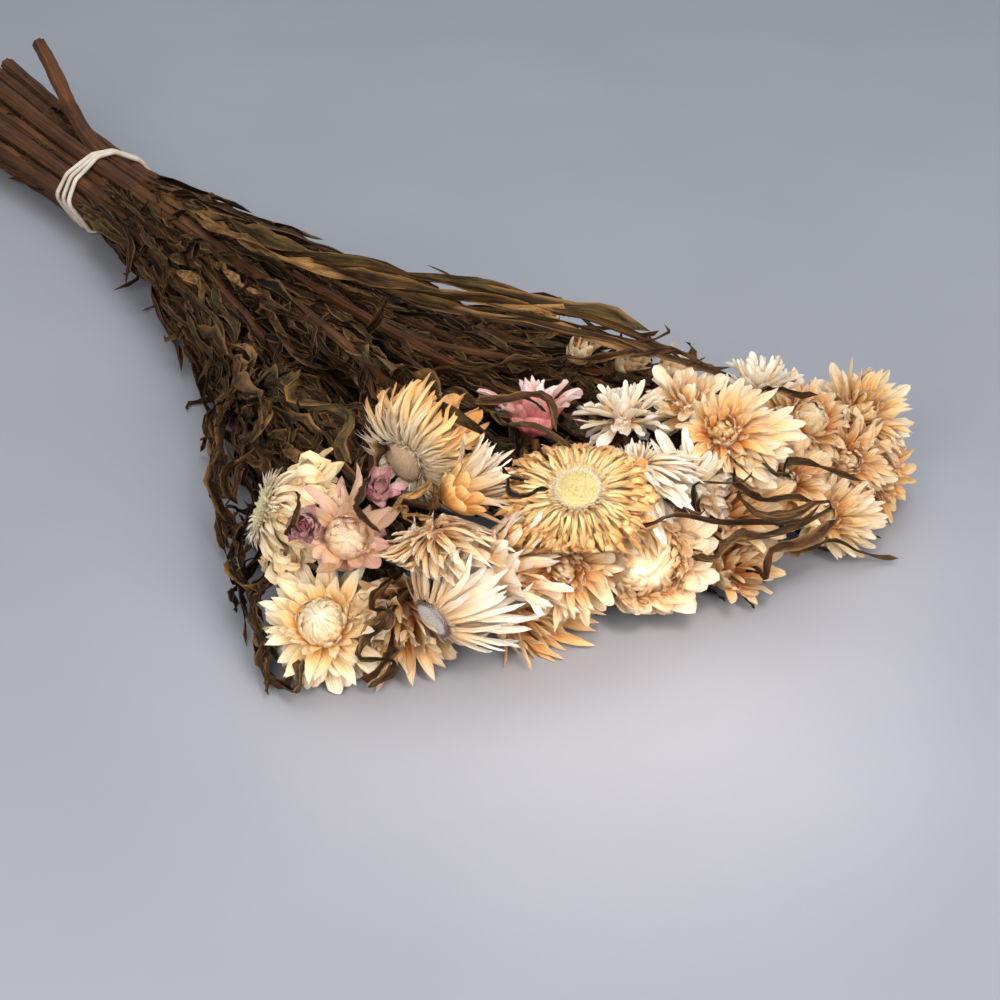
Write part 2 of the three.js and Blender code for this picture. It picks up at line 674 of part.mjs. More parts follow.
// One turn of the band hugs the outer stems; the turns part at the sides and lie over each other on top.
function strandSolid(turnIndex) {
  const seats = BAND_ROWS.flatMap((count, layer) => list(count, (i) => bandPlace(layer, i)));
  const reach = STEM_R + CLEARANCE + STRAND_R;
  const rings = list(STRAND_STEPS, (step) => {
    const turn = (step / STRAND_STEPS) * 2 * Math.PI;
    const out = new THREE.Vector3(Math.cos(turn), 0, Math.sin(turn));
    const seat = seats.reduce((best, s) => (s.dot(out) > best.dot(out) + 1e-6 ? s : best));
    const parted = STRAND_R * (2.3 - 0.9 * Math.sin(turn - 0.6));
    const middle = offset(seat, out, reach, Y, (turnIndex - (STRAND_TURNS - 1) / 2) * parted);
    return list(STRAND_SIDES, (k) => {
      const angle = (2 * Math.PI * k) / STRAND_SIDES;
      return offset(middle, out, STRAND_R * Math.cos(angle), Y, STRAND_R * Math.sin(angle));
    });
  });
  const skin = new Skin();
  const corners = rings.map((ring) => skin.addRing(ring));
  corners.forEach((here, r) => {
    const next = corners[(r + 1) % corners.length];
    here.forEach((corner, k) => {
      const l = (k + 1) % STRAND_SIDES;
      skin.face(corner, here[l], next[l]);
      skin.face(corner, next[l], next[k]);
    });
  });
  return skin.solid();
}

// ---- Assembly -----------------------------------------------------------------------------------

// Joins a node's parts, presses flat what reaches the surface, and drops loose scraps and sealed hollows.
function fuse(parts) {
  const joined = wasm.Manifold.union(parts).trimByPlane([0, 0, 1], 0);
  return joined.decompose().reduce((largest, body) => (body.volume() > largest.volume() ? body : largest));
}

function meshOf(name, parts, finish) {
  const mesh = new THREE.Mesh(geometryOf(fuse(parts)), new THREE.MeshStandardMaterial(FINISHES[finish]));
  mesh.name = name;
  return mesh;
}

const bunch = new THREE.Group();
bunch.name = "dried_strawflower_bunch";

const strands = list(STRAND_TURNS, strandSolid);
strands.forEach((strand) => place("elastic_band", strand));
bunch.add(meshOf("elastic_band", strands, "elastic"));

const stems = layOutStems();
for (const stem of stems) {
  stem.rod = stemRod(stem);
  stem.shootSolids = stem.shoots.map(shootSolid);
  place(stem.name, closeRod(stemRod(stem)));
  stem.shootSolids.forEach((solid) => place(stem.name, solid));
}

for (const bloom of BLOOMS) {
  const { core, sides, disc } = FORMS[bloom.form];
  place(bloom.name, closeCore(coreSkin(bloom, core, sides), sides));
  if (!disc) continue;
  const name = bloom.name.replace("bloom", "disc");
  const solid = discSolid(bloom);
  place(name, solid);
  bunch.add(meshOf(name, [solid], "disc"));
}
BLOOMS.forEach((bloom, i) => {
  bunch.add(meshOf(bloom.name, [bloomSolid(bloom, i + 1)], bloom.tint));
});
for (const stem of stems) {
  bunch.add(meshOf(stem.name, [leafyStemSolid(stem), ...stem.shootSolids], "foliage"));
}

// The origin is on the surface, under the middle of the bunch's box.
const middle = new THREE.Box3().setFromObject(bunch).getCenter(new THREE.Vector3());
bunch.position.set(-middle.x, -middle.y, 0);

export default bunch;
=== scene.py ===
"""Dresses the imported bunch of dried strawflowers: papery blooms, shrivelled leaves, ribbed stems, an elastic band."""

import logging
import math
from dataclasses import dataclass, field
from enum import Enum
from typing import Callable, Optional, Sequence

import bmesh
import bpy
import numpy as np
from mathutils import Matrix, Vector


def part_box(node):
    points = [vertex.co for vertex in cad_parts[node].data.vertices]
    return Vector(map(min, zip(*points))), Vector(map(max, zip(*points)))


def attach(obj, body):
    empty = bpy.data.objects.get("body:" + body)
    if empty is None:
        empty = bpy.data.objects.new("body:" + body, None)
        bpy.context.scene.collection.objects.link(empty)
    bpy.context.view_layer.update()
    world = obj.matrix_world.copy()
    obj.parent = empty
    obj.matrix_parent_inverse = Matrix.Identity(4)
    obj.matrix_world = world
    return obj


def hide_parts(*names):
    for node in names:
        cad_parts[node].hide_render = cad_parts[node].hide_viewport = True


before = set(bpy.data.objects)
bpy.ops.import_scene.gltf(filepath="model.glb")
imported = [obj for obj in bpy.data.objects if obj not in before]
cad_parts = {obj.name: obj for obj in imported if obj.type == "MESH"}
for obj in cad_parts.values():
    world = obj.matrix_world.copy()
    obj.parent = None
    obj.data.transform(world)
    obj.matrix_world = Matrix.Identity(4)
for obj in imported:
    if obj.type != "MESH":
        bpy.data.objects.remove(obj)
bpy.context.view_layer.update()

LOG = logging.getLogger("strawflowers")
MM = 0.001
GOLDEN_TURN = math.radians(137.508)
Colour = tuple[int, int, int]
Place = tuple[float, float, float]
Pair = tuple[float, float]
Rows = np.ndarray
Amount = Rows | float
Socket = bpy.types.NodeSocket


# ---- Arithmetic on rows of points, in millimetres ----


def unit(rows: Rows) -> Rows:
    """Gives each row its length of one."""
    return rows / np.maximum(np.linalg.norm(rows, axis=-1, keepdims=True), 1e-9)


def draw(number: int) -> float:
    """A share from 0 to 1 for each stem, the same from run to run."""
    steep = math.sin(number * 12.9898 + 78.233) * 43758.5453
    return steep - math.floor(steep)


def cubic(start: Rows, leave: Rows, end: Rows, arrive: Rows, t: Rows) -> Rows:
    """Points on a smooth line between two places with a heading at each, one for each share of the way."""
    t = np.asarray(t, float)[..., None]
    t2, t3 = t * t, t * t * t
    return (
        start * (2 * t3 - 3 * t2 + 1) + leave * (t3 - 2 * t2 + t) + end * (3 * t2 - 2 * t3) + arrive * (t3 - t2)
    )


def at_shares(stations: Rows, shares: Rows) -> Rows:
    """The values at shares of the way, the same for every course, from a row of stations for each course."""
    place = np.clip(shares, 0, 1) * (stations.shape[1] - 1)
    low = np.minimum(place.astype(int), stations.shape[1] - 2)
    part = (place - low).reshape((1, -1) + (1,) * (stations.ndim - 2))
    return stations[:, low] * (1 - part) + stations[:, low + 1] * part


def lifted(points: Rows, low: float = 0.3, soft: float = 1.6) -> Rows:
    """Keeps points above the surface that the bunch lies on, the lower they are the more they are pressed.

    Args:
        points: The points.
        low: The height that none goes under.
        soft: How far above it the pressing starts.

    Returns:
        The pressed points.
    """
    points = points.copy()
    height = points[..., 2]
    pressed = low + soft * np.exp((height - low - soft) / soft)
    points[..., 2] = np.where(height < low + soft, pressed, height)
    return points


def tucked(points: Rows, room: float = 0.0) -> Rows:
    """Keeps leaves within the fan, whose section is a low mound, and above the surface that it lies on.

    Args:
        points: The leaves' points.
        room: How far above the fan's top they may lie, in millimetres.

    Returns:
        The tucked points.
    """
    points = points.copy()
    across, up_stem, height = points[..., 0], points[..., 1], np.maximum(points[..., 2], 0)
    top = np.interp(up_stem, [0, 80, 140, 200, 260, 345], [72, 61, 53, 44, 38, 31]) + room
    left = np.interp(up_stem, [-20, 50, 140, 200, 260, 345], [127, 106, 66, 49, 36, 24])
    right = np.interp(up_stem, [-20, 20, 140, 200, 260, 345], [110, 101, 60, 42, 29, 20])
    square = np.interp(up_stem, [0, 120], [5.0, 2.0])
    out = ((np.abs(across) / np.where(across < 0, left, right)) ** square + (height / top) ** square) ** (1 / square)
    soft = 0.08
    kept = 1 + soft * (1 - np.exp(-np.maximum(out - 1, 0) / soft))
    share = np.where(out > 1, kept / out, 1)
    points[..., 0] *= share
    points[..., 2] *= share
    return lifted(points, 1.1, 3.0)


# ---- Shapes modelled once at the bench ----


@dataclass
class Mould:
    """A small closed shape of unit size that lies along its own length, ready to be copied along a course.

    Attributes:
        across: Each point's place across, where 1 is half the greatest width.
        along: Its share of the length.
        through: Its place through the thickness.
        share: Its place across as a share of the width there.
        corners: The faces' corners, face after face.
        sizes: How many corners each face has.
        texture: Each corner's place in the texture: across and along.
        finish: Which of a piece's finishes each face takes.
    """

    across: Rows
    along: Rows
    through: Rows
    share: Rows
    corners: Rows
    sizes: Rows
    texture: Rows
    finish: Rows

    @classmethod
    def take(cls, piece: bpy.types.Object, share: Optional[Callable[[Rows], Rows]] = None) -> "Mould":
        """Takes the shape off the bench and clears the bench.

        Args:
            piece: The modelled shape, lying along +Y from 0 to 1.
            share: Gives each point's share of the width. Without it the shape is round, and its texture runs round.

        Returns:
            The mould, with its faces in the order of their corners.
        """
        bpy.ops.object.mode_set(mode="OBJECT")
        mesh = piece.data
        points = np.array([list(point.co) for point in mesh.vertices])
        faces = sorted(mesh.polygons, key=lambda face: tuple(face.vertices))
        corners = np.array([corner for face in faces for corner in face.vertices])
        sizes = np.array([face.loop_total for face in faces])
        finish = np.array([face.material_index for face in faces])
        if share:
            shares = share(points)
            texture_across = shares[corners] / 2 + 0.5
        else:
            shares = np.arctan2(points[:, 2], points[:, 0]) / math.pi
            turn = np.arctan2(points[:, 2], points[:, 0])[corners] / (2 * math.pi)
            middles = np.array([list(face.center) for face in faces])
            middle = np.repeat(np.arctan2(middles[:, 2], middles[:, 0]) / (2 * math.pi), sizes)
            texture_across = turn - np.round(turn - middle)
        texture = np.stack([texture_across, points[corners, 1]], axis=1)
        bpy.data.objects.remove(piece)
        bpy.data.meshes.remove(mesh)
        return cls(*points.T, shares, corners, sizes, texture, finish)

    def lay(
        self,
        course: "Course",
        half: Rows,
        thickness: Rows,
        roll: Optional[Rows] = None,
        ruffle: Optional[Rows] = None,
        phase: Optional[Rows] = None,
    ) -> Rows:
        """Lays a copy along each line of a course.

        Args:
            course: The lines.
            half: Half the width at each station of each line.
            thickness: The thickness at each station.
            roll: How far each copy's sides roll up, in radians.
            ruffle: How high its sides wave, as a share of half its width.
            phase: Where the waves of its sides start.

        Returns:
            The copies' points, one row for each line.
        """
        line, side, up = (at_shares(rows, self.along) for rows in (course.line, course.side, course.up))
        wide = at_shares(half, self.along)
        deep = at_shares(thickness, self.along)
        if roll is None:
            reach, rise, tilt = self.across * wide, 0 * wide, 0 * wide
        else:
            tilt = self.share * roll[:, None]
            narrowing = np.abs(self.across / np.where(np.abs(self.share) < 1e-6, 1, self.share))
            reach = wide * narrowing * np.sin(tilt) / roll[:, None]
            rise = wide * narrowing * (1 - np.cos(tilt)) / roll[:, None]
        if ruffle is not None:
            edge = np.sin(phase[:, None] + self.along * 17 + self.share * 1.7) * np.abs(self.share)
            pleat = np.sin(phase[:, None] * 2.3 + self.share * 8 + self.along * 5)
            rise = rise + wide * ruffle[:, None] * (edge + 0.6 * pleat)
        inward = up * np.cos(tilt)[..., None] - side * np.sin(tilt)[..., None]
        return line + side * reach[..., None] + up * rise[..., None] + inward * (self.through * deep)[..., None]


class Bench:
    """Where the moulds are modelled."""

    @staticmethod
    def _start(primitive: Callable, **sizes: object) -> bpy.types.Object:
        """Puts a plain shape on the bench, with all of it picked up.

        Args:
            primitive: What adds the shape.
            **sizes: Its sizes.

        Returns:
            The shape, in edit mode.
        """
        bpy.ops.object.select_all(action="DESELECT")
        primitive(**sizes)
        bpy.ops.object.mode_set(mode="EDIT")
        bpy.ops.mesh.select_all(action="SELECT")
        return bpy.context.object

    @staticmethod
    def _tip_over(angle: float) -> None:
        """Turns what is picked about the X axis."""
        bpy.ops.transform.rotate(value=angle, orient_axis="X", center_override=(0, 0, 0))

    @staticmethod
    def _widen(across: float, through: float, along: float = 0.0) -> None:
        """Scales what is picked about the middle line, at a place along it."""
        bpy.ops.transform.resize(value=(across, 1, through), center_override=(0, along, 0))

    @staticmethod
    def _pick(piece: bpy.types.Object, test: Callable[[Vector], bool]) -> None:
        """Picks the points of the shape in edit mode that pass a test, and nothing else."""
        bpy.ops.mesh.select_mode(type="VERT")
        bpy.ops.mesh.select_all(action="DESELECT")
        shape = bmesh.from_edit_mesh(piece.data)
        for point in shape.verts:
            point.select_set(test(point.co))
        shape.select_flush(True)
        bmesh.update_edit_mesh(piece.data)

    @classmethod
    def blade(cls, columns: int, outline: Sequence[Pair]) -> Mould:
        """Models a thin blade with two faces that meet in a sharp edge all round.

        Args:
            columns: How many faces lie across it.
            outline: The rows from root to tip: how far along, and half the width there. The last is 0 wide.

        Returns:
            The mould.
        """
        rows = len(outline) - 1
        piece = cls._start(bpy.ops.mesh.primitive_grid_add, x_subdivisions=columns, y_subdivisions=rows, size=2)
        bpy.ops.mesh.duplicate()
        bpy.ops.mesh.flip_normals()
        cls._part_faces(piece)
        bpy.ops.mesh.select_all(action="SELECT")
        bpy.ops.transform.translate(value=(0, 11, 0))
        for row, (along, half) in enumerate(outline):
            level = 10 + 2 * row / rows
            cls._pick(piece, lambda place, y=level: abs(place.y - y) < 1e-3)
            bpy.ops.transform.translate(value=(0, along - level, 0))
            cls._widen(half, 1, along)
        bpy.ops.mesh.select_all(action="SELECT")
        bpy.ops.mesh.remove_doubles(threshold=1e-4)
        alongs, halves = np.array(outline, float).T

        def share(points: Rows) -> Rows:
            """The place across as a share of the outline."""
            width = np.interp(points[:, 1], alongs, halves)
            return np.where(width < 1e-5, 0, points[:, 0] / np.maximum(width, 1e-5))

        return Mould.take(piece, share)

    @staticmethod
    def _part_faces(piece: bpy.types.Object) -> None:
        """Moves the inner points of a blade's two sheets apart, the second of them picked, and leaves their borders."""
        shape = bmesh.from_edit_mesh(piece.data)
        second = {point.index for point in shape.verts if point.select}
        for sheet, rise in ((False, 0.5), (True, -0.5)):
            bpy.ops.mesh.select_all(action="DESELECT")
            shape = bmesh.from_edit_mesh(piece.data)
            for point in shape.verts:
                inner = abs(point.co.x) < 0.999 and abs(point.co.y) < 0.999
                point.select_set(inner and (point.index in second) == sheet)
            bmesh.update_edit_mesh(piece.data)
            bpy.ops.transform.translate(value=(0, 0, rise))

    @classmethod
    def rod(cls, ribs: int, rows: int, groove: float, hollow: float = 0.0) -> Mould:
        """Models a ribbed rod that may have a hollow at its first end.

        Args:
            ribs: How many ribs run along it.
            rows: How many rows of faces it has from end to end.
            groove: How deep the grooves between the ribs are.
            hollow: How wide the hollow of the cut end is.

        Returns:
            The mould. Where it has a hollow, its cut end takes the third finish.
        """
        piece = cls._start(
            bpy.ops.mesh.primitive_cylinder_add, vertices=2 * ribs, radius=1, depth=1, end_fill_type="NGON"
        )
        cls._tip_over(-math.pi / 2)
        shape = bmesh.from_edit_mesh(piece.data)
        if min(point.co.y for point in shape.verts) > -0.49 or max(point.co.y for point in shape.verts) < 0.49:
            raise ValueError("the rod doesn't lie along its length")
        bpy.ops.transform.translate(value=(0, 0.5, 0))
        step = math.pi / ribs
        corner = next(iter(bmesh.from_edit_mesh(piece.data).verts)).co
        first = math.atan2(corner.z, corner.x)
        cls._pick(piece, lambda place: round((math.atan2(place.z, place.x) - first) / step) % 2 == 1)
        cls._widen(1 - groove, 1 - groove)
        for row in range(1, rows):
            bpy.ops.mesh.select_all(action="SELECT")
            bpy.ops.mesh.bisect(plane_co=(0, row / rows, 0), plane_no=(0, 1, 0))
        if hollow:
            cls._hollow_out(piece, hollow)
        return Mould.take(piece)

    @classmethod
    def _hollow_out(cls, piece: bpy.types.Object, hollow: float) -> None:
        """Sinks a hollow of that width into a rod's first end, and gives the end the third finish."""
        bpy.ops.mesh.select_mode(type="FACE")
        bpy.ops.mesh.select_all(action="DESELECT")
        for face in bmesh.from_edit_mesh(piece.data).faces:
            if all(abs(point.co.y) < 1e-5 for point in face.verts):
                face.select_set(True)
                face.material_index = 2
        bmesh.update_edit_mesh(piece.data)
        bpy.ops.mesh.extrude_region_move()
        cls._widen(hollow, hollow)
        bpy.ops.mesh.extrude_region_move()
        bpy.ops.transform.translate(value=(0, 0.02, 0))

    @classmethod
    def bead(cls, sides: int, rows: int) -> Mould:
        """Models a round bead with a number of faces round it and from end to end."""
        piece = cls._start(bpy.ops.mesh.primitive_uv_sphere_add, segments=sides, ring_count=rows, radius=0.5)
        cls._tip_over(math.pi / 2)
        bpy.ops.transform.translate(value=(0, 0.5, 0))
        cls._widen(2, 2)
        return Mould.take(piece)

    @classmethod
    def spike(cls) -> Mould:
        """Models the spike that stands for one dried floret, four-sided and a little swollen below its tip."""
        piece = cls._start(
            bpy.ops.mesh.primitive_cone_add, vertices=4, radius1=0.7, radius2=0, depth=1, end_fill_type="NGON"
        )
        cls._tip_over(math.pi / 2)
        if sum(1 for point in bmesh.from_edit_mesh(piece.data).verts if point.co.y > 0.49) != 1:
            cls._tip_over(math.pi)
        bpy.ops.transform.translate(value=(0, 0.5, 0))
        swollen = 0.6
        bpy.ops.mesh.bisect(plane_co=(0, swollen, 0), plane_no=(0, 1, 0))
        cls._pick(piece, lambda place: abs(place.y - swollen) < 1e-3)
        cls._widen(2.6, 2.6, swollen)
        return Mould.take(piece)

    @staticmethod
    def ring(turns: int, sides: int) -> Mould:
        """Models a closed ring whose length runs round it.

        Args:
            turns: How many faces lie round the ring.
            sides: How many lie round its cord.

        Returns:
            The mould. Across it is outwards, and through it is along the ring's axis.
        """
        bpy.ops.object.select_all(action="DESELECT")
        bpy.ops.mesh.primitive_torus_add(
            major_segments=turns, minor_segments=sides, major_radius=2, minor_radius=1, generate_uvs=False
        )
        mould = Mould.take(bpy.context.object, lambda points: points[:, 0])
        turn = (np.arctan2(mould.along, mould.across) / (2 * math.pi)) % 1
        mould.across = np.hypot(mould.across, mould.along) - 2
        mould.along = np.where(turn > 1 - 0.25 / turns, 0, turn)
        mould.share = np.arctan2(mould.through, mould.across) / math.pi
        along = mould.along[mould.corners]
        starts = np.concatenate([[0], np.cumsum(mould.sizes)[:-1]])
        for start, size in zip(starts, mould.sizes):
            face = along[start : start + size]
            along[start : start + size] = np.where(face < face.max() - 0.5, face + 1, face)
        mould.texture = np.stack([mould.share[mould.corners], along], axis=1)
        return mould


@dataclass
class Course:
    """The lines that a batch of copies is laid along, and the frame that turns with each.

    Attributes:
        line: Points, one row of stations for each line.
        side: Which way is across at each.
        up: Which way is through at each.
    """

    line: Rows
    side: Rows
    up: Rows

    @classmethod
    def bent(
        cls,
        root: Rows,
        axes: tuple[Rows, Rows, Rows],
        length: Rows,
        lift: Rows,
        swing: Rows,
        twist: Rows,
    ) -> "Course":
        """Lines that start at their roots and bend by angles at each station.

        Args:
            root: Where each line starts.
            axes: For each line: straight ahead, where it lifts to, and where it swings to.
            length: How long each is.
            lift: The angle from ahead towards the lift, at each station.
            swing: The angle towards the swing.
            twist: How far its frame is turned about the line.

        Returns:
            The course.
        """
        ahead, out, flank = (axis[:, None] for axis in axes)
        lift, swing = lift[..., None], swing[..., None]
        level = ahead * np.cos(lift) + out * np.sin(lift)
        heading = level * np.cos(swing) + flank * np.sin(swing)
        side = flank * np.cos(swing) - level * np.sin(swing)
        up = ahead * np.sin(lift) - out * np.cos(lift)
        steps = (heading[:, 1:] + heading[:, :-1]) / 2 * (length / (lift.shape[1] - 1))[:, None, None]
        line = np.concatenate([root[:, None], root[:, None] + np.cumsum(steps, axis=1)], axis=1)
        return cls(line, side, up).turned(twist)

    def turned(self, twist: Rows) -> "Course":
        """The same lines with their frames turned about them by an angle at each station."""
        cos, sin = np.cos(twist)[..., None], np.sin(twist)[..., None]
        return Course(self.line, self.side * cos + self.up * sin, self.up * cos - self.side * sin)

    @classmethod
    def through(cls, line: Rows) -> "Course":
        """One line through points, with a frame that starts upright and doesn't spin about it."""
        heading = unit(np.gradient(line, axis=0))
        up = np.array([0, 0, 1.0])
        sides, ups = [], []
        for ahead in heading:
            side = unit(np.cross(ahead, up))
            up = unit(np.cross(side, ahead))
            sides.append(side)
            ups.append(up)
        return cls(line[None], np.array(sides)[None], np.array(ups)[None])


class Sheaf:
    """Copies of moulds gathered into one piece."""

    def __init__(self) -> None:
        """Starts empty."""
        self._parts: list[tuple[Rows, ...]] = []
        self._count = 0

    def add(self, mould: Mould, copies: Rows, tone: Amount, heart: Amount, finish: int = 0) -> None:
        """Adds copies of a mould.

        Args:
            mould: The mould.
            copies: Each copy's points.
            tone: Each copy's own shade, from 0 to 1.
            heart: How near each copy is to the heart of what it belongs to, from 0 to 1.
            finish: Which finish they take, added to the mould's own.
        """
        many, each = copies.shape[:2]
        starts = self._count + each * np.arange(many)
        self._parts.append((
            copies.reshape(-1, 3), (mould.corners[None] + starts[:, None]).ravel(), np.tile(mould.sizes, many),
            np.tile(mould.texture, (many, 1)), np.tile(mould.finish + finish, many),
            np.repeat(tone, each), np.repeat(heart, each),
        ))
        self._count += many * each

    def add_round(self, mould: Mould, course: Course, radius: Rows, tone: Amount, heart: Amount) -> None:
        """Adds copies of a round mould along the lines of a course, with a radius at each station."""
        self.add(mould, mould.lay(course, radius, radius), tone, heart)

    def tie(self, name: str, node: str, slot: str, finishes: Sequence[bpy.types.Material]) -> bpy.types.Object:
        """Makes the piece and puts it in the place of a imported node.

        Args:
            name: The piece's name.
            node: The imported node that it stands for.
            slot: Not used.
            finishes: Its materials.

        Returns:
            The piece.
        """
        mesh = bpy.data.meshes.new(name)
        points, corners, sizes, texture, finish, tone, heart = (np.concatenate(rows) for rows in zip(*self._parts))
        points = (lifted(points) + ROW_SHIFT) * MM
        mesh.vertices.add(len(points))
        mesh.vertices.foreach_set("co", points.astype(np.float32).ravel())
        mesh.loops.add(len(corners))
        mesh.loops.foreach_set("vertex_index", corners.astype(np.int32))
        mesh.polygons.add(len(sizes))
        mesh.polygons.foreach_set("loop_start", np.concatenate([[0], np.cumsum(sizes)[:-1]]).astype(np.int32))
        mesh.update(calc_edges=True)
        mesh.polygons.foreach_set("material_index", finish.astype(np.int32))
        mesh.uv_layers.new(name="UVMap").data.foreach_set("uv", texture.astype(np.float32).ravel())
        for label, values in (("tone", tone), ("heart", heart)):
            mesh.attributes.new(label, "FLOAT", "POINT").data.foreach_set("value", values.astype(np.float32))
        for material in finishes:
            mesh.materials.append(material)
        piece = bpy.data.objects.new(name, mesh)
        bpy.context.scene.collection.objects.link(piece)
        bpy.ops.object.select_all(action="DESELECT")
        piece.select_set(True)
        bpy.context.view_layer.objects.active = piece
        bpy.ops.object.shade_smooth_by_angle(angle=math.radians(58))
        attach(piece, "root")
        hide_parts(node)
        LOG.info("%s: %d faces", name, len(sizes))
        return piece


# ---- Finishes ----


def linear(colour: Colour) -> tuple[float, float, float, float]:
    """The colour as a shader wants it: linear red, green, blue, and 1."""
    parts = [part / 255 for part in colour]
    return tuple(part / 12.92 if part <= 0.04045 else ((part + 0.055) / 1.055) ** 2.4 for part in parts) + (1.0,)


FIRST_COLOUR, SECOND_COLOUR, MIXED_COLOUR = 6, 7, 2
WHITEST = (255, 255, 255)


class Recipe:
    """A material while its nodes are put together."""

    def __init__(self, name: str) -> None:
        """Starts a material of that name with a plain shader."""
        self.material = bpy.data.materials.new(name)
        self.material.use_nodes = True
        self.tree = self.material.node_tree
        self.shader = self.tree.nodes["Principled BSDF"]

    def node(self, kind: str, inputs: dict, **settings: object) -> bpy.types.Node:
        """Adds a node.

        Args:
            kind: The node's type.
            inputs: What each input gets: a socket is linked, anything else is set.
            **settings: The node's own settings.

        Returns:
            The node.
        """
        node = self.tree.nodes.new(kind)
        for label, value in settings.items():
            setattr(node, label, value)
        for label, value in inputs.items():
            self.feed(node.inputs[label], value)
        return node

    def feed(self, socket: Socket, value: object) -> None:
        """Links or sets one input."""
        if isinstance(value, Socket):
            self.tree.links.new(value, socket)
        else:
            socket.default_value = value

    def sum(self, kind: str, *values: object) -> Socket:
        """Arithmetic on numbers, such as ADD or MULTIPLY."""
        return self.node("ShaderNodeMath", dict(enumerate(values)), operation=kind).outputs[0]

    def place(self) -> tuple[Socket, Socket]:
        """The place across and along a copy."""
        parts = self.node("ShaderNodeSeparateXYZ", {0: self.node("ShaderNodeUVMap", {}, uv_map="UVMap").outputs[0]})
        return parts.outputs[0], parts.outputs[1]

    def mark(self, label: str) -> Socket:
        """A number that each copy carries."""
        return self.node("ShaderNodeAttribute", {}, attribute_name=label).outputs["Fac"]

    def grain(self, across: Socket, along: Socket, fine: Pair, apart: Socket, detail: float = 3.0) -> Socket:
        """Streaky noise that follows a copy.

        Args:
            across: The place across.
            along: The place along.
            fine: How fine it is across and along.
            apart: What tells one copy's from the next.
            detail: How much fine detail it has.

        Returns:
            The noise, from 0 to 1.
        """
        parts = {0: self.sum("MULTIPLY", across, fine[0]), 1: self.sum("MULTIPLY", along, fine[1]), 2: apart}
        spot = self.node("ShaderNodeCombineXYZ", parts).outputs[0]
        noise = self.node("ShaderNodeTexNoise", {"Vector": spot, "Scale": 1.0, "Detail": detail, "Roughness": 0.6})
        return noise.outputs[0]

    def blotch(self, scale: float) -> Socket:
        """Cloudy noise in the piece's own space, with that many clouds to a metre."""
        spot = self.node("ShaderNodeTexCoord", {}).outputs["Object"]
        return self.node("ShaderNodeTexNoise", {"Vector": spot, "Scale": scale, "Detail": 3.0}).outputs[0]

    def ramp(self, value: Socket, stops: Sequence[tuple[float, Colour]]) -> Socket:
        """Colours along a number.

        Args:
            value: The number.
            stops: Places from 0 to 1, and the colour at each.

        Returns:
            The colour.
        """
        node = self.node("ShaderNodeValToRGB", {"Fac": value})
        while len(node.color_ramp.elements) < len(stops):
            node.color_ramp.elements.new(0.5)
        for element, (place, colour) in zip(node.color_ramp.elements, stops):
            element.position = place
            element.color = linear(colour)
        return node.outputs["Color"]

    def spread(self, value: object, low: float, high: float, to_low: float, to_high: float) -> Socket:
        """Maps a number from one span to another, and holds it there."""
        inputs = {0: value, 1: low, 2: high, 3: to_low, 4: to_high}
        return self.node("ShaderNodeMapRange", inputs).outputs[0]

    def mix(self, share: object, first: object, second: object, how: str = "MIX") -> Socket:
        """Mixes two colours.

        Args:
            share: How much of the second.
            first: The first colour.
            second: The second colour.
            how: The way they mix.

        Returns:
            The mixed colour.
        """
        parts = {0: share, FIRST_COLOUR: first, SECOND_COLOUR: second}
        return self.node("ShaderNodeMix", parts, data_type="RGBA", blend_type=how).outputs[MIXED_COLOUR]

    def shaded(self, colour: Socket, share: float, value: Socket, *stops: tuple[float, Colour]) -> Socket:
        """Darkens a colour, by a share, with the shades that lie along a number."""
        return self.mix(share, colour, self.ramp(value, stops), "MULTIPLY")

    def done(
        self, colour: Socket, rough: Socket, height: Socket, depth: float, glow: float = 0.0, gloss: float = 0.4
    ) -> bpy.types.Material:
        """Finishes the material.

        Args:
            colour: Its colour.
            rough: Its roughness.
            height: Its relief, from 0 to 1.
            depth: How deep the relief is, in millimetres.
            glow: How much light goes through it.
            gloss: How strongly it reflects.

        Returns:
            The material.
        """
        inputs = {"Base Color": colour, "Roughness": rough, "Specular IOR Level": gloss}
        if glow:
            inputs |= {"Subsurface Weight": glow, "Subsurface Radius": (1.0, 0.62, 0.36), "Subsurface Scale": 3.0 * MM}
        bump = self.node("ShaderNodeBump", {"Strength": 1.0, "Distance": depth * MM, "Height": height})
        inputs["Normal"] = bump.outputs[0]
        for label, value in inputs.items():
            self.feed(self.shader.inputs[label], value)
        return self.material


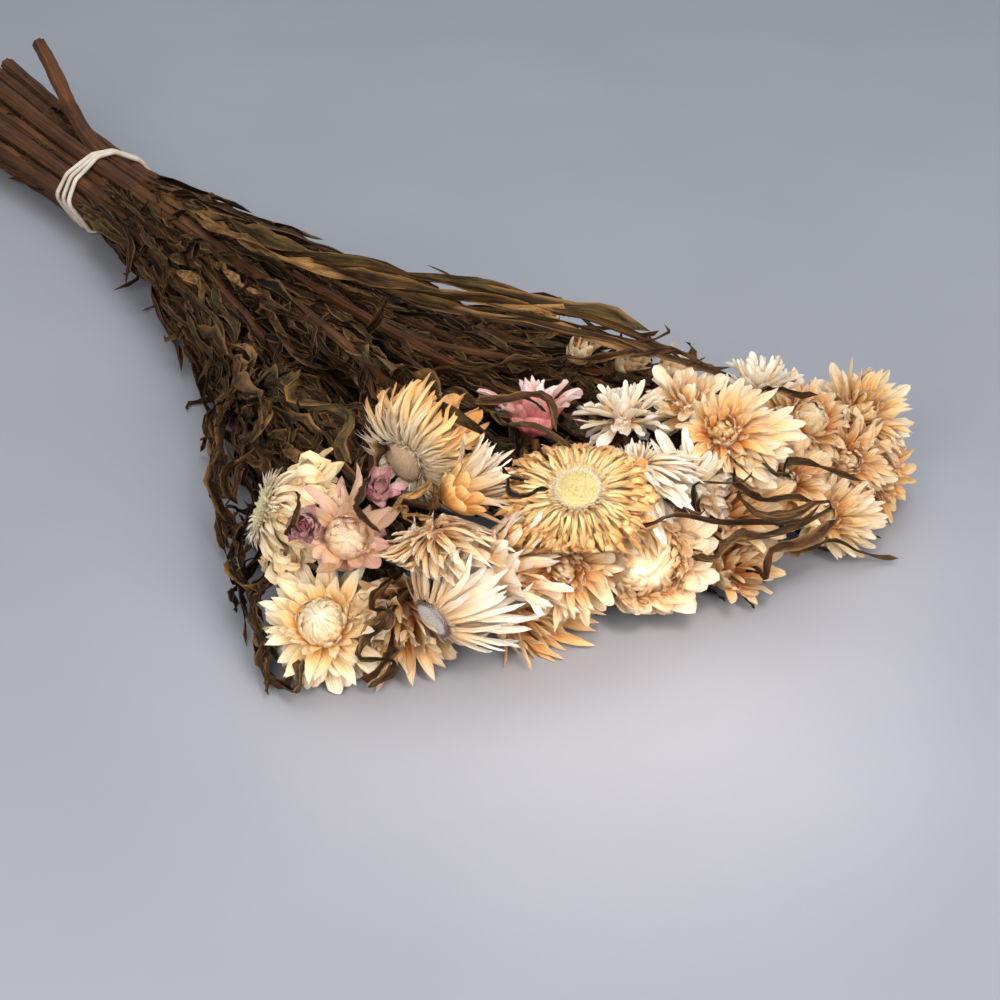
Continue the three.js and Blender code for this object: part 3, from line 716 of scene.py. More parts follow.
@dataclass(frozen=True)
class PaperyBracts:
    """Dry, papery, half see-through bracts: three colours from foot to tip, three in the heart, and a blush; the deep
    orange at the foot and along the pleats is partly their own colour, partly painted shade.
    """

    name: str
    foot: Colour
    body: Colour
    tip: Colour
    heart_foot: Colour
    heart_body: Colour
    heart_tip: Colour
    blush: Colour

    def make(self) -> bpy.types.Material:
        """Makes the material."""
        recipe = Recipe(self.name)
        across, along = recipe.place()
        tone, heart = recipe.mark("tone"), recipe.mark("heart")
        apart = recipe.sum("MULTIPLY", tone, 61.0)
        pleat = recipe.grain(across, along, (7.0, 1.1), apart, 2.0)
        fibre = recipe.grain(across, along, (15.0, 1.8), apart, 4.0)
        reach = recipe.sum("ADD", along, recipe.spread(pleat, 0.3, 0.7, -0.15, 0.15))
        reach = recipe.sum("ADD", reach, recipe.spread(tone, 0.0, 1.0, -0.12, 0.12))
        # Partly painted shade: the deep orange foot is the bracts' own colour, deepened to stand in for the shade where
        # they overlap.
        outer = recipe.ramp(reach, [(0.16, self.foot), (0.52, self.body), (0.92, self.tip)])
        inner = recipe.ramp(reach, [(0.2, self.heart_foot), (0.58, self.heart_body), (0.94, self.heart_tip)])
        colour = recipe.mix(recipe.spread(heart, 0.35, 0.85, 0.0, 1.0), outer, inner)
        edge = recipe.sum("POWER", recipe.sum("ABSOLUTE", recipe.sum("MULTIPLY_ADD", across, 2.0, -1.0)), 5.0)
        colour = recipe.mix(recipe.sum("MULTIPLY", edge, 0.55), colour, linear(self.tip))
        chosen = recipe.spread(tone, 0.62, 1.0, 0.0, 0.75)
        blushing = recipe.sum("MULTIPLY", chosen, recipe.spread(pleat, 0.3, 0.7, 0.3, 1.0))
        colour = recipe.mix(blushing, colour, linear(self.blush))
        # Streaks of the foot's orange along the pleats: partly the bracts' own streaks, partly painted shade in their
        # creases.
        colour = recipe.mix(recipe.spread(pleat, 0.52, 0.68, 0.0, 0.42), colour, linear(self.foot))
        colour = recipe.shaded(colour, 0.8, fibre, (0.3, (226, 204, 170)), (0.46, (246, 238, 224)), (0.62, WHITEST))
        relief = recipe.sum("MULTIPLY_ADD", pleat, 0.6, recipe.sum("MULTIPLY", fibre, 0.4))
        rough = recipe.spread(fibre, 0.3, 0.7, 0.42, 0.62)
        return recipe.done(colour, rough, relief, 0.7, glow=0.35)


@dataclass(frozen=True)
class FuzzyFlorets:
    """The crumbly cushion of dried florets, with a ring of another colour round it."""

    name: str
    foot: Colour
    tip: Colour
    rim: Colour

    def make(self) -> bpy.types.Material:
        """Makes the material."""
        recipe = Recipe(self.name)
        across, along = recipe.place()
        tone, heart = recipe.mark("tone"), recipe.mark("heart")
        cloud = recipe.blotch(700.0)
        colour = recipe.ramp(along, [(0.1, self.foot), (0.75, self.tip)])
        colour = recipe.mix(recipe.spread(heart, 0.26, 0.12, 0.0, 0.95), colour, linear(self.rim))
        value = recipe.sum("MULTIPLY_ADD", tone, 0.5, recipe.sum("MULTIPLY", cloud, 0.5))
        colour = recipe.shaded(colour, 0.8, value, (0.2, (190, 182, 170)), (0.8, WHITEST))
        relief = recipe.grain(across, along, (9.0, 9.0), tone)
        return recipe.done(colour, recipe.spread(cloud, 0.3, 0.7, 0.75, 0.92), relief, 0.2, glow=0.15)


@dataclass(frozen=True)
class ShrivelledLeaves:
    """Leaves that dried dark, wrinkled and rolled, some olive, with tan edges and ribs."""

    name: str
    dark: Colour
    body: Colour
    olive: Colour
    tan: Colour

    def make(self) -> bpy.types.Material:
        """Makes the material."""
        recipe = Recipe(self.name)
        across, along = recipe.place()
        tone = recipe.mark("tone")
        apart = recipe.sum("MULTIPLY", tone, 83.0)
        wrinkle = recipe.grain(across, along, (4.0, 15.0), apart, 4.0)
        crease = recipe.grain(across, along, (12.0, 30.0), apart, 4.0)
        shades = [(0.1, self.dark), (0.35, self.body), (0.62, self.olive), (0.8, self.body), (0.97, self.tan)]
        body = recipe.ramp(tone, shades)
        colour = recipe.mix(recipe.spread(wrinkle, 0.42, 0.6, 0.0, 0.75), body, linear(self.dark))
        middle = recipe.sum("ABSOLUTE", recipe.sum("MULTIPLY_ADD", across, 2.0, -1.0))
        edge = recipe.spread(middle, 0.72, 1.0, 0.0, 0.6)
        rib = recipe.spread(middle, 0.1, 0.0, 0.0, 0.5)
        colour = recipe.mix(recipe.sum("MAXIMUM", edge, rib), colour, linear(self.tan))
        colour = recipe.shaded(colour, 0.75, crease, (0.3, (150, 140, 126)), (0.62, WHITEST))
        relief = recipe.sum("MULTIPLY_ADD", wrinkle, 0.7, recipe.sum("MULTIPLY", crease, 0.3))
        return recipe.done(colour, recipe.spread(crease, 0.3, 0.7, 0.55, 0.8), relief, 2.4, gloss=0.12)


@dataclass(frozen=True)
class WoodyStems:
    """Ribbed, reddish-brown stems, dark in the grooves and paler on the ribs."""

    name: str
    dark: Colour
    body: Colour
    rib: Colour

    def make(self) -> bpy.types.Material:
        """Makes the material."""
        recipe = Recipe(self.name)
        across, along = recipe.place()
        tone = recipe.mark("tone")
        apart = recipe.sum("MULTIPLY", tone, 47.0)
        streak = recipe.grain(across, along, (26.0, 9.0), apart, 4.0)
        fine = recipe.grain(across, along, (80.0, 60.0), apart, 4.0)
        patch = recipe.blotch(45.0)
        value = recipe.sum("MULTIPLY_ADD", streak, 0.6, recipe.sum("MULTIPLY", patch, 0.4))
        colour = recipe.ramp(value, [(0.34, self.dark), (0.5, self.body), (0.66, self.rib)])
        colour = recipe.shaded(colour, 0.7, fine, (0.3, (168, 156, 142)), (0.65, WHITEST))
        relief = recipe.sum("MULTIPLY_ADD", streak, 0.6, recipe.sum("MULTIPLY", fine, 0.4))
        return recipe.done(colour, recipe.spread(fine, 0.3, 0.7, 0.6, 0.82), relief, 0.9, gloss=0.25)


@dataclass(frozen=True)
class CutPith:
    """The pale, spongy inside of a cut stem."""

    name: str = "cut_pith"
    pith: Colour = (196, 176, 140)
    bark: Colour = (112, 84, 58)

    def make(self) -> bpy.types.Material:
        """Makes the material."""
        recipe = Recipe(self.name)
        cloud, pores = recipe.blotch(320.0), recipe.blotch(2600.0)
        colour = recipe.ramp(cloud, [(0.35, self.bark), (0.6, self.pith)])
        colour = recipe.shaded(colour, 0.7, pores, (0.35, (150, 130, 100)), (0.6, WHITEST))
        return recipe.done(colour, recipe.spread(pores, 0.3, 0.7, 0.8, 0.95), pores, 0.4)


@dataclass(frozen=True)
class CreamElastic:
    """Covered elastic: fine threads wound round a rubber core."""

    name: str = "cream_elastic"
    thread: Colour = (226, 216, 202)
    between: Colour = (176, 160, 142)

    def make(self) -> bpy.types.Material:
        """Makes the material."""
        recipe = Recipe(self.name)
        across, along = recipe.place()
        slant = recipe.sum("MULTIPLY_ADD", along, 210.0, recipe.sum("MULTIPLY", across, 1.0))
        thread = recipe.sum("MULTIPLY_ADD", recipe.sum("SINE", recipe.sum("MULTIPLY", slant, 2 * math.pi)), 0.5, 0.5)
        soil = recipe.blotch(160.0)
        colour = recipe.ramp(thread, [(0.05, self.between), (0.45, self.thread)])
        colour = recipe.shaded(colour, 0.8, soil, (0.35, (226, 214, 198)), (0.6, WHITEST))
        return recipe.done(colour, recipe.spread(soil, 0.3, 0.7, 0.6, 0.75), thread, 0.16, glow=0.1)


CREAM = PaperyBracts(
    "cream_bracts", (234, 177, 101), (246, 218, 162), (248, 238, 214),
    (236, 179, 99), (247, 222, 164), (248, 240, 216), (242, 201, 136),
)
AMBER = PaperyBracts(
    "amber_bracts", (158, 94, 38), (196, 130, 64), (230, 186, 126),
    (226, 178, 118), (246, 228, 198), (253, 246, 232), (178, 108, 48),
)
GOLDEN = PaperyBracts(
    "golden_bracts", (202, 115, 42), (227, 191, 128), (235, 223, 197),
    (206, 118, 44), (227, 170, 88), (233, 210, 160), (216, 143, 69),
)
SHELLS = PaperyBracts(
    "shell_bracts", (246, 212, 152), (254, 238, 202), (250, 216, 158),
    (250, 240, 200), (254, 248, 224), (255, 252, 238), (242, 190, 122),
)
BEIGE = PaperyBracts(
    "beige_bracts", (219, 153, 87), (237, 200, 146), (244, 231, 204),
    (221, 153, 81), (239, 202, 144), (244, 231, 202), (225, 173, 118),
)
YELLOW = PaperyBracts(
    "yellow_bracts", (224, 191, 127), (224, 185, 122), (205, 135, 69),
    (232, 210, 158), (228, 199, 139), (220, 166, 98), (210, 145, 79),
)
FRINGED = PaperyBracts(
    "fringed_bracts", (248, 220, 158), (250, 212, 142), (232, 156, 82),
    (248, 242, 204), (252, 246, 220), (254, 250, 236), (230, 160, 88),
)
IVORY = PaperyBracts(
    "ivory_bracts", (236, 166, 98), (252, 226, 186), (255, 246, 228),
    (240, 176, 108), (252, 230, 192), (255, 247, 230), (246, 204, 146),
)
LOBED = PaperyBracts(
    "lobed_bracts", (230, 154, 86), (250, 218, 172), (252, 236, 208),
    (214, 124, 54), (236, 186, 118), (244, 220, 180), (232, 172, 106),
)
WHITE = PaperyBracts(
    "white_bracts", (229, 189, 138), (239, 225, 201), (243, 238, 227),
    (231, 187, 128), (239, 222, 191), (243, 237, 223), (233, 210, 178),
)
PEACH = PaperyBracts(
    "peach_bracts", (196, 108, 44), (225, 173, 109), (236, 217, 182),
    (200, 111, 46), (227, 177, 113), (234, 217, 184), (211, 140, 73),
)
ORANGE = PaperyBracts(
    "orange_bracts", (214, 122, 53), (237, 169, 94), (245, 212, 157),
    (218, 125, 55), (239, 178, 104), (245, 216, 163), (225, 143, 71),
)
PINK = PaperyBracts(
    "pink_bracts", (206, 156, 112), (212, 176, 146), (206, 158, 146),
    (230, 172, 112), (242, 200, 148), (248, 220, 182), (182, 112, 114),
)
ROSE = PaperyBracts(
    "rose_bracts", (178, 74, 80), (206, 108, 112), (226, 152, 148),
    (216, 140, 138), (242, 214, 208), (250, 236, 230), (192, 92, 98),
)
MAUVE = PaperyBracts(
    "mauve_bud_bracts", (236, 212, 194), (226, 170, 176), (160, 70, 102),
    (236, 212, 194), (216, 150, 164), (156, 66, 98), (180, 96, 122),
)

FLORETS = {
    2: FuzzyFlorets("pale_florets", (186, 168, 116), (232, 222, 176), (214, 204, 152)),
    4: FuzzyFlorets("beige_florets", (170, 128, 106), (238, 212, 176), (120, 76, 64)),
    6: FuzzyFlorets("yellow_florets", (186, 166, 104), (216, 202, 142), (230, 220, 194)),
    7: FuzzyFlorets("grey_florets", (206, 198, 192), (240, 236, 232), (112, 76, 68)),
}
LEAVES = ShrivelledLeaves("shrivelled_leaves", (27, 17, 9), (86, 58, 34), (85, 70, 41), (164, 123, 74))
BARK = WoodyStems("woody_stems", (40, 24, 12), (88, 54, 27), (124, 80, 40))


# ---- How the blooms grow ----


class Blank(Enum):
    """The outlines that bracts and leaves are cut to: how far along each row is, and half the width there."""

    POINTED = ((0, 0.5), (0.18, 0.8), (0.38, 1.0), (0.58, 0.96), (0.76, 0.74), (0.9, 0.38), (1, 0))
    ROUNDED = ((0, 0.45), (0.2, 0.74), (0.44, 0.95), (0.66, 1.0), (0.83, 0.88), (0.95, 0.54), (1, 0))
    NARROW = ((0, 0.7), (0.2, 0.9), (0.44, 1.0), (0.68, 0.94), (0.84, 0.72), (0.94, 0.4), (1, 0))
    NEEDLE = ((0, 0.9), (0.3, 1.0), (0.6, 0.8), (0.85, 0.42), (1, 0))
    RIBBON = tuple((step / 34, min(1.0, 0.35 + step / 8, (34 - step) / 15)) for step in range(35))
    LEAF = (
        (0, 0.3), (0.06, 0.55), (0.13, 0.78), (0.21, 0.93), (0.3, 1.0), (0.39, 1.0), (0.48, 0.97), (0.57, 0.92),
        (0.66, 0.85), (0.74, 0.76), (0.82, 0.64), (0.89, 0.48), (0.95, 0.28), (1, 0),
    )


POINTED, ROUNDED, NARROW, NEEDLE = Blank.POINTED, Blank.ROUNDED, Blank.NARROW, Blank.NEEDLE


@dataclass(frozen=True)
class Whorl:
    """A band of bracts round the bloom's axis, from its outermost bract to its innermost.

    Lengths are shares of the bloom's spread and angles are degrees. Where two numbers stand, the first is
    the outermost bract's and the second the innermost's.

    Attributes:
        count: How many bracts it has.
        blank: Their outline.
        along: How far forward along the axis they stand.
        radius: How far from the axis they stand.
        lean: How far they lean from the axis: 90 is flat open.
        curl: How much further they bend back along their length.
        length: Their length.
        width: Their width.
        heart: Where the band lies between the outermost bracts, 0, and the heart, 1.
        roll: How far their sides roll up, in radians.
        loose: How unevenly they stand.
        wavy: How far they wind from side to side, in radians.
    """

    count: int
    blank: Blank
    along: Pair
    radius: Pair
    lean: Pair
    curl: Pair
    length: Pair
    width: Pair
    heart: Pair = (0, 0.5)
    roll: float = 0.8
    loose: float = 1
    wavy: float = 0.1


@dataclass(frozen=True)
class Disc:
    """The bare cushion of florets, in shares of the bloom's spread."""

    radius: float
    rise: float
    along: float


@dataclass(frozen=True)
class Habit:
    """How a kind of bloom is built.

    Attributes:
        neck: Where its stem ends behind it.
        core: The back, the front and the radius of its solid middle.
        whorls: Its bands of bracts.
        disc: Its cushion of florets.
    """

    neck: float
    core: Place
    whorls: tuple[Whorl, ...]
    disc: Optional[Disc] = None


def closed_dome(
    radius: float, middle: float, blank: Blank = POINTED, loose: float = 0.6, ajar: float = 0.0, broad: float = 0.62
) -> tuple[Whorl, ...]:
    """Bracts that lie over each other like scales and close over the heart.

    Args:
        radius: The dome's radius.
        middle: Where its middle is along the axis.
        blank: The bracts' outline.
        loose: How unevenly they stand.
        ajar: How far their tips stand open, as a share of their curl.
        broad: The outermost bracts' width, as a share of the radius.

    Returns:
        Its bands, from the outermost.
    """
    bands = []
    start = 112.0
    rings = ((62, 17, 1.0), (46, 17, 0.97), (30, 15, 0.94), (16, 13, 0.9), (0, 10, 0.86))
    for step, (end, count, shrink) in enumerate(rings):
        size = radius * shrink
        arc = math.radians(start - end)
        foot = math.radians(start)
        bands.append(Whorl(
            count, blank, (middle + size * math.cos(foot),) * 2, (size * math.sin(foot),) * 2,
            (start - 90,) * 2, ((end - start) * (1 - ajar),) * 2, (size * arc,) * 2,
            (radius * (broad - 0.05 * step),) * 2, (0.6 + 0.08 * step,) * 2, 0.7, loose,
        ))
    return tuple(bands)


# A band's row: count, outline, along, radius, lean, curl, length, width, heart, roll, loose, wavy.
HABITS = {
    "domed": Habit(-0.28, (-0.27, 0.19, 0.165), (
        Whorl(23, ROUNDED, (-0.2, -0.17), (0.06, 0.1), (128, 112), (8, 16), (0.3, 0.38), (0.117, 0.124),
              (0, 0.1), 0.6, 1.3, 0.14),
        Whorl(34, ROUNDED, (-0.15, -0.1), (0.11, 0.14), (108, 88), (12, 14), (0.4, 0.4), (0.15, 0.145),
              (0.1, 0.25), 0.6, 1.82, 0.14),
        Whorl(36, POINTED, (-0.1, -0.05), (0.14, 0.17), (84, 58), (12, 4), (0.39, 0.34), (0.14, 0.13),
              (0.25, 0.5), 0.6, 1.82, 0.14),
        Whorl(31, POINTED, (-0.05, -0.01), (0.17, 0.18), (50, 30), (-10, -34), (0.3, 0.26), (0.103, 0.089),
              (0.5, 0.65), 0.7, 1.3, 0.14),
    ) + closed_dome(0.19, 0.03)),
    "lobed": Habit(-0.28, (-0.27, 0.2, 0.25), (
        Whorl(17, ROUNDED, (-0.2, -0.16), (0.06, 0.1), (118, 100), (-34, -24), (0.42, 0.46), (0.2, 0.2),
              (0, 0.1), 0.6, 1.2),
        Whorl(28, ROUNDED, (-0.15, -0.08), (0.12, 0.17), (96, 72), (-40, -40), (0.42, 0.42), (0.2, 0.19),
              (0.1, 0.3), 0.7, 1.3),
        Whorl(26, ROUNDED, (-0.1, -0.06), (0.19, 0.24), (70, 44), (-40, -50), (0.36, 0.34), (0.19, 0.17),
              (0.3, 0.5), 0.8, 1.3),
    ) + closed_dome(0.33, -0.13, ROUNDED, 1.3, 0.4, 0.38)[:3]
      + closed_dome(0.31, -0.1, ROUNDED, 1.4, 0.34, 0.36)[:4] + closed_dome(0.3, -0.08, ROUNDED, 1.4, 0.26, 0.34)),
    "bud-hearted": Habit(-0.3, (-0.29, 0.22, 0.18), (
        Whorl(9, POINTED, (-0.2, -0.15), (0.07, 0.11), (96, 80), (-30, 10), (0.38, 0.42), (0.22, 0.22),
              (0, 0.1), 0.8, 3, 0.3),
        Whorl(9, POINTED, (-0.13, -0.06), (0.12, 0.15), (70, 50), (-24, 10), (0.5, 0.5), (0.22, 0.2),
              (0.1, 0.25), 0.9, 3, 0.3),
        Whorl(9, ROUNDED, (-0.05, 0), (0.18, 0.19), (40, 26), (-26, -10), (0.4, 0.36), (0.2, 0.19),
              (0.25, 0.45), 0.8, 2.2),
    ) + closed_dome(0.23, 0.03, ROUNDED, 0.5)),
    "fringed": Habit(-0.3, (-0.29, 0.04, 0.15), (
        Whorl(22, ROUNDED, (-0.26, -0.18), (0.06, 0.11), (150, 132), (-70, -34), (0.34, 0.42), (0.2, 0.19),
              (0, 0.1), 1, 1.8),
        Whorl(46, ROUNDED, (-0.15, -0.08), (0.12, 0.15), (134, 118), (10, 50), (0.4, 0.44), (0.14, 0.12),
              (0.1, 0.3), 1.2, 2),
        Whorl(40, ROUNDED, (-0.22, -0.1), (0.3, 0.42), (100, 60), (120, 190), (0.2, 0.18), (0.13, 0.12),
              (0, 0.2), 1.1, 2.6),
        Whorl(64, NARROW, (-0.08, 0), (0.155, 0.175), (116, 96), (36, 60), (0.28, 0.24), (0.09, 0.07),
              (0.3, 0.6), 1.3, 1.6),
        Whorl(170, NEEDLE, (0, 0.05), (0.175, 0.19), (84, 40), (60, 50), (0.15, 0.09), (0.034, 0.026),
              (0.7, 1), 0.6, 1.6, 0.2),
    ), Disc(0.165, 0.05, 0.02)),
    "fanned": Habit(-0.3, (-0.29, 0.04, 0.18), (
        Whorl(18, ROUNDED, (-0.25, -0.17), (0.06, 0.14), (136, 118), (-40, 0), (0.34, 0.42), (0.2, 0.19),
              (0, 0.05), 1, 1.8),
        Whorl(70, NARROW, (-0.15, -0.07), (0.13, 0.16), (112, 98), (50, 130), (0.44, 0.48), (0.09, 0.08),
              (0.05, 0.25), 1.2, 1.9, 0.3),
        Whorl(90, NARROW, (-0.07, 0), (0.16, 0.19), (96, 80), (50, 140), (0.46, 0.4), (0.065, 0.05),
              (0.25, 0.55), 1.3, 1.9, 0.3),
        Whorl(150, NEEDLE, (0, 0.04), (0.18, 0.19), (80, 50), (30, 60), (0.34, 0.2), (0.034, 0.026),
              (0.6, 0.8), 0.6, 1.5, 0.2),
        Whorl(90, NEEDLE, (0.03, 0.05), (0.17, 0.185), (50, 20), (20, 20), (0.13, 0.08), (0.03, 0.024),
              (1, 1), 0.6, 1.3),
    ), Disc(0.185, 0.05, 0.03)),
    "ruffled": Habit(-0.3, (-0.29, 0.04, 0.15), (
        Whorl(26, ROUNDED, (-0.2, -0.13), (0.07, 0.12), (112, 98), (-30, 6), (0.42, 0.47), (0.17, 0.16),
              (0, 0.1), 0.9, 1.8),
        Whorl(90, NARROW, (-0.12, -0.06), (0.13, 0.16), (98, 92), (4, 20), (0.38, 0.37), (0.07, 0.065),
              (0.1, 0.35), 1.3, 1.9, 0.4),
        Whorl(54, ROUNDED, (-0.08, -0.04), (0.38, 0.45), (60, 40), (150, 190), (0.17, 0.14), (0.1, 0.08),
              (0, 0.15), 1.2, 3),
        Whorl(110, NARROW, (-0.05, 0), (0.16, 0.175), (92, 84), (10, 30), (0.35, 0.3), (0.055, 0.05),
              (0.35, 0.7), 1.4, 1.9, 0.4),
        Whorl(50, ROUNDED, (-0.03, 0), (0.33, 0.4), (50, 30), (150, 200), (0.13, 0.11), (0.075, 0.06),
              (0.2, 0.4), 1.2, 3),
        Whorl(110, NARROW, (0, 0.035), (0.175, 0.18), (82, 66), (24, 50), (0.27, 0.18), (0.042, 0.034),
              (0.7, 1), 1.4, 1.5, 0.3),
        Whorl(110, NEEDLE, (0.03, 0.05), (0.166, 0.178), (60, 26), (30, 30), (0.07, 0.05), (0.026, 0.02), (1, 1), 0.6),
    ), Disc(0.155, 0.05, 0.035)),
    "swept": Habit(-0.3, (-0.29, 0.05, 0.15), (
        Whorl(19, ROUNDED, (-0.24, -0.17), (0.06, 0.1), (162, 150), (-8, -4), (0.5, 0.58), (0.151, 0.142),
              (0, 0.1), 0.8, 1.2, 0.14),
        Whorl(42, POINTED, (-0.12, 0), (0.12, 0.175), (152, 138), (-6, 6), (0.62, 0.7), (0.124, 0.115),
              (0.1, 0.4), 1, 1.68, 0.14),
        Whorl(46, NARROW, (0, 0.04), (0.178, 0.19), (130, 112), (12, 26), (0.64, 0.54), (0.091, 0.075),
              (0.4, 0.6), 1.1, 1.92, 0.14),
        Whorl(62, NEEDLE, (0.035, 0.05), (0.185, 0.19), (100, 76), (30, 30), (0.075, 0.06), (0.022, 0.019),
              (1, 1), 0.6, 1.2, 0.14),
    ), Disc(0.178, 0.035, 0.045)),
    "umbrella": Habit(-0.28, (-0.27, 0.12, 0.13), (
        Whorl(28, ROUNDED, (-0.22, -0.16), (0.06, 0.1), (136, 120), (-16, 4), (0.34, 0.42), (0.121, 0.114),
              (0, 0.1), 0.8, 1.69, 0.16),
        Whorl(50, ROUNDED, (-0.14, -0.06), (0.11, 0.145), (118, 100), (18, 26), (0.46, 0.48), (0.125, 0.115),
              (0.1, 0.35), 0.8, 1.8, 0.16),
        Whorl(52, POINTED, (-0.06, 0.03), (0.145, 0.15), (98, 78), (30, 30), (0.46, 0.36), (0.095, 0.085),
              (0.35, 0.7), 1, 1.9, 0.16),
        Whorl(43, NARROW, (0.03, 0.1), (0.13, 0.04), (60, 10), (0, -50), (0.2, 0.12), (0.053, 0.04),
              (0.75, 1), 1, 1.3, 0.16),
    )),
    "wing": Habit(-0.28, (-0.27, 0, 0.13), (
        Whorl(30, ROUNDED, (-0.2, -0.13), (0.06, 0.1), (132, 116), (-10, 10), (0.36, 0.42), (0.133, 0.125),
              (0, 0.1), 0.8, 1.8),
        Whorl(68, POINTED, (-0.12, -0.06), (0.1, 0.13), (116, 104), (6, 20), (0.44, 0.48), (0.101, 0.094),
              (0.1, 0.35), 0.8, 2, 0.16),
        Whorl(75, NARROW, (-0.06, -0.01), (0.13, 0.12), (102, 88), (12, 26), (0.46, 0.4), (0.062, 0.058),
              (0.35, 0.6), 1, 2, 0.2),
        Whorl(50, NARROW, (-0.01, 0.02), (0.11, 0.03), (84, 60), (20, 30), (0.3, 0.16), (0.055, 0.047),
              (0.6, 0.9), 1, 1.5),
    )),
    "goblet": Habit(-0.5, (-0.48, -0.04, 0.18), (
        Whorl(8, ROUNDED, (-0.48, -0.44), (0.05, 0.1), (84, 74), (-76, -66), (0.52, 0.56), (0.357, 0.357),
              (0, 0.1), 0.9, 0.6),
        Whorl(12, ROUNDED, (-0.42, -0.32), (0.12, 0.2), (56, 42), (-40, -20), (0.66, 0.74), (0.32, 0.3),
              (0.1, 0.25), 0.9, 0.96),
        Whorl(18, ROUNDED, (-0.3, -0.16), (0.21, 0.19), (38, 24), (-8, 10), (0.8, 0.76), (0.26, 0.22),
              (0.4, 0.6), 0.9, 1.56),
        Whorl(17, POINTED, (-0.12, 0), (0.15, 0.05), (22, 2), (-6, 0), (0.66, 0.54), (0.143, 0.108),
              (0.7, 1), 0.8, 1.44),
    )),
    "tipped goblet": Habit(-0.5, (-0.48, -0.04, 0.18), (
        Whorl(8, ROUNDED, (-0.48, -0.44), (0.05, 0.1), (84, 74), (-76, -66), (0.38, 0.42), (0.4, 0.4),
              (0, 0.1), 0.9, 0.6),
        Whorl(11, ROUNDED, (-0.42, -0.32), (0.12, 0.2), (56, 42), (-40, -20), (0.46, 0.52), (0.34, 0.3),
              (0.1, 0.25), 0.9, 0.8),
        Whorl(20, POINTED, (-0.3, -0.16), (0.2, 0.19), (38, 24), (0, 16), (0.9, 0.84), (0.2, 0.17),
              (0.55, 0.8), 0.9, 1.6),
        Whorl(16, POINTED, (-0.12, 0), (0.15, 0.05), (22, 2), (-6, 0), (0.7, 0.54), (0.15, 0.12), (0.8, 1), 0.8, 1.4),
    )),
    "lily": Habit(-0.5, (-0.48, -0.04, 0.18), (
        Whorl(8, ROUNDED, (-0.48, -0.44), (0.05, 0.1), (84, 74), (-76, -66), (0.38, 0.42), (0.4, 0.4),
              (0, 0.1), 0.9, 0.6),
        Whorl(11, ROUNDED, (-0.42, -0.32), (0.12, 0.2), (56, 42), (-40, -20), (0.46, 0.52), (0.34, 0.3),
              (0.1, 0.25), 0.9),
        Whorl(11, ROUNDED, (-0.24, -0.14), (0.22, 0.21), (52, 46), (26, 40), (0.66, 0.6), (0.3, 0.26),
              (0.62, 0.8), 0.9, 1.5),
        Whorl(9, POINTED, (-0.12, 0), (0.15, 0.05), (34, 8), (10, 0), (0.4, 0.3), (0.2, 0.16), (0.8, 1), 0.8, 1.4),
    )),
    "cup": Habit(-0.5, (-0.48, 0.02, 0.17), (
        Whorl(18, ROUNDED, (-0.47, -0.4), (0.06, 0.13), (80, 60), (-50, -40), (0.3, 0.4), (0.191, 0.191),
              (0, 0.1), 0.9, 1.58, 0.12),
        Whorl(29, ROUNDED, (-0.38, -0.26), (0.15, 0.2), (58, 42), (-26, -14), (0.54, 0.66), (0.183, 0.175),
              (0.1, 0.3), 0.9, 2.11, 0.12),
        Whorl(31, POINTED, (-0.25, -0.1), (0.2, 0.19), (44, 20), (-8, 6), (0.7, 0.62), (0.151, 0.127),
              (0.35, 0.6), 0.9, 2.11, 0.12),
        Whorl(26, NARROW, (-0.08, 0.02), (0.15, 0.05), (18, 2), (-10, -10), (0.5, 0.38), (0.082, 0.074),
              (0.7, 1), 0.8, 1.72, 0.12),
    )),
    "star": Habit(-0.3, (-0.29, 0.08, 0.12), (
        Whorl(18, ROUNDED, (-0.2, -0.14), (0.07, 0.12), (110, 92), (-14, 4), (0.42, 0.48), (0.19, 0.19),
              (0, 0.2), 0.6, 1.9, 0.12),
        Whorl(24, ROUNDED, (-0.12, -0.05), (0.12, 0.14), (88, 58), (-10, 6), (0.48, 0.44), (0.18, 0.165),
              (0.2, 0.5), 0.6, 2.1, 0.12),
        Whorl(29, ROUNDED, (-0.04, 0.05), (0.13, 0.11), (52, 26), (-10, -30), (0.36, 0.28), (0.118, 0.104),
              (0.5, 0.8), 0.8, 2.07, 0.12),
        Whorl(23, NARROW, (0.04, 0.1), (0.1, 0.02), (22, 2), (-30, -20), (0.2, 0.15), (0.065, 0.052),
              (0.85, 1), 0.8, 1.38, 0.12),
    )),
    "tousled": Habit(-0.28, (-0.27, 0.12, 0.13), (
        Whorl(25, ROUNDED, (-0.2, -0.15), (0.06, 0.1), (114, 98), (-20, 8), (0.36, 0.42), (0.133, 0.133),
              (0, 0.1), 0.7, 2.34, 0.28),
        Whorl(44, ROUNDED, (-0.13, -0.05), (0.11, 0.145), (98, 72), (-6, 14), (0.42, 0.42), (0.14, 0.13),
              (0.1, 0.4), 0.8, 2.1, 0.2),
        Whorl(44, POINTED, (-0.05, 0.04), (0.145, 0.14), (70, 40), (0, 20), (0.42, 0.34), (0.12, 0.1),
              (0.4, 0.7), 1, 2.2, 0.2),
        Whorl(44, ROUNDED, (0.03, 0.12), (0.135, 0.04), (38, 4), (-40, -90), (0.24, 0.14), (0.1, 0.075),
              (0.7, 1), 1, 1.9, 0.2),
    )),
    "bud": Habit(-0.5, (-0.5, 0.22, 0.17), (
        Whorl(10, ROUNDED, (-0.46, -0.36), (0.08, 0.16), (50, 32), (-46, -34), (0.46, 0.58), (0.312, 0.324), (0, 0.2)),
        Whorl(11, POINTED, (-0.3, -0.12), (0.19, 0.2), (30, 14), (-26, -6), (0.74, 0.66), (0.336, 0.3),
              (0.3, 0.5), 0.8, 1.4),
        Whorl(10, POINTED, (0, 0.1), (0.16, 0.08), (16, 2), (-16, -10), (0.5, 0.4), (0.228, 0.192), (0.7, 1), 0.8, 1.3),
    )),
}


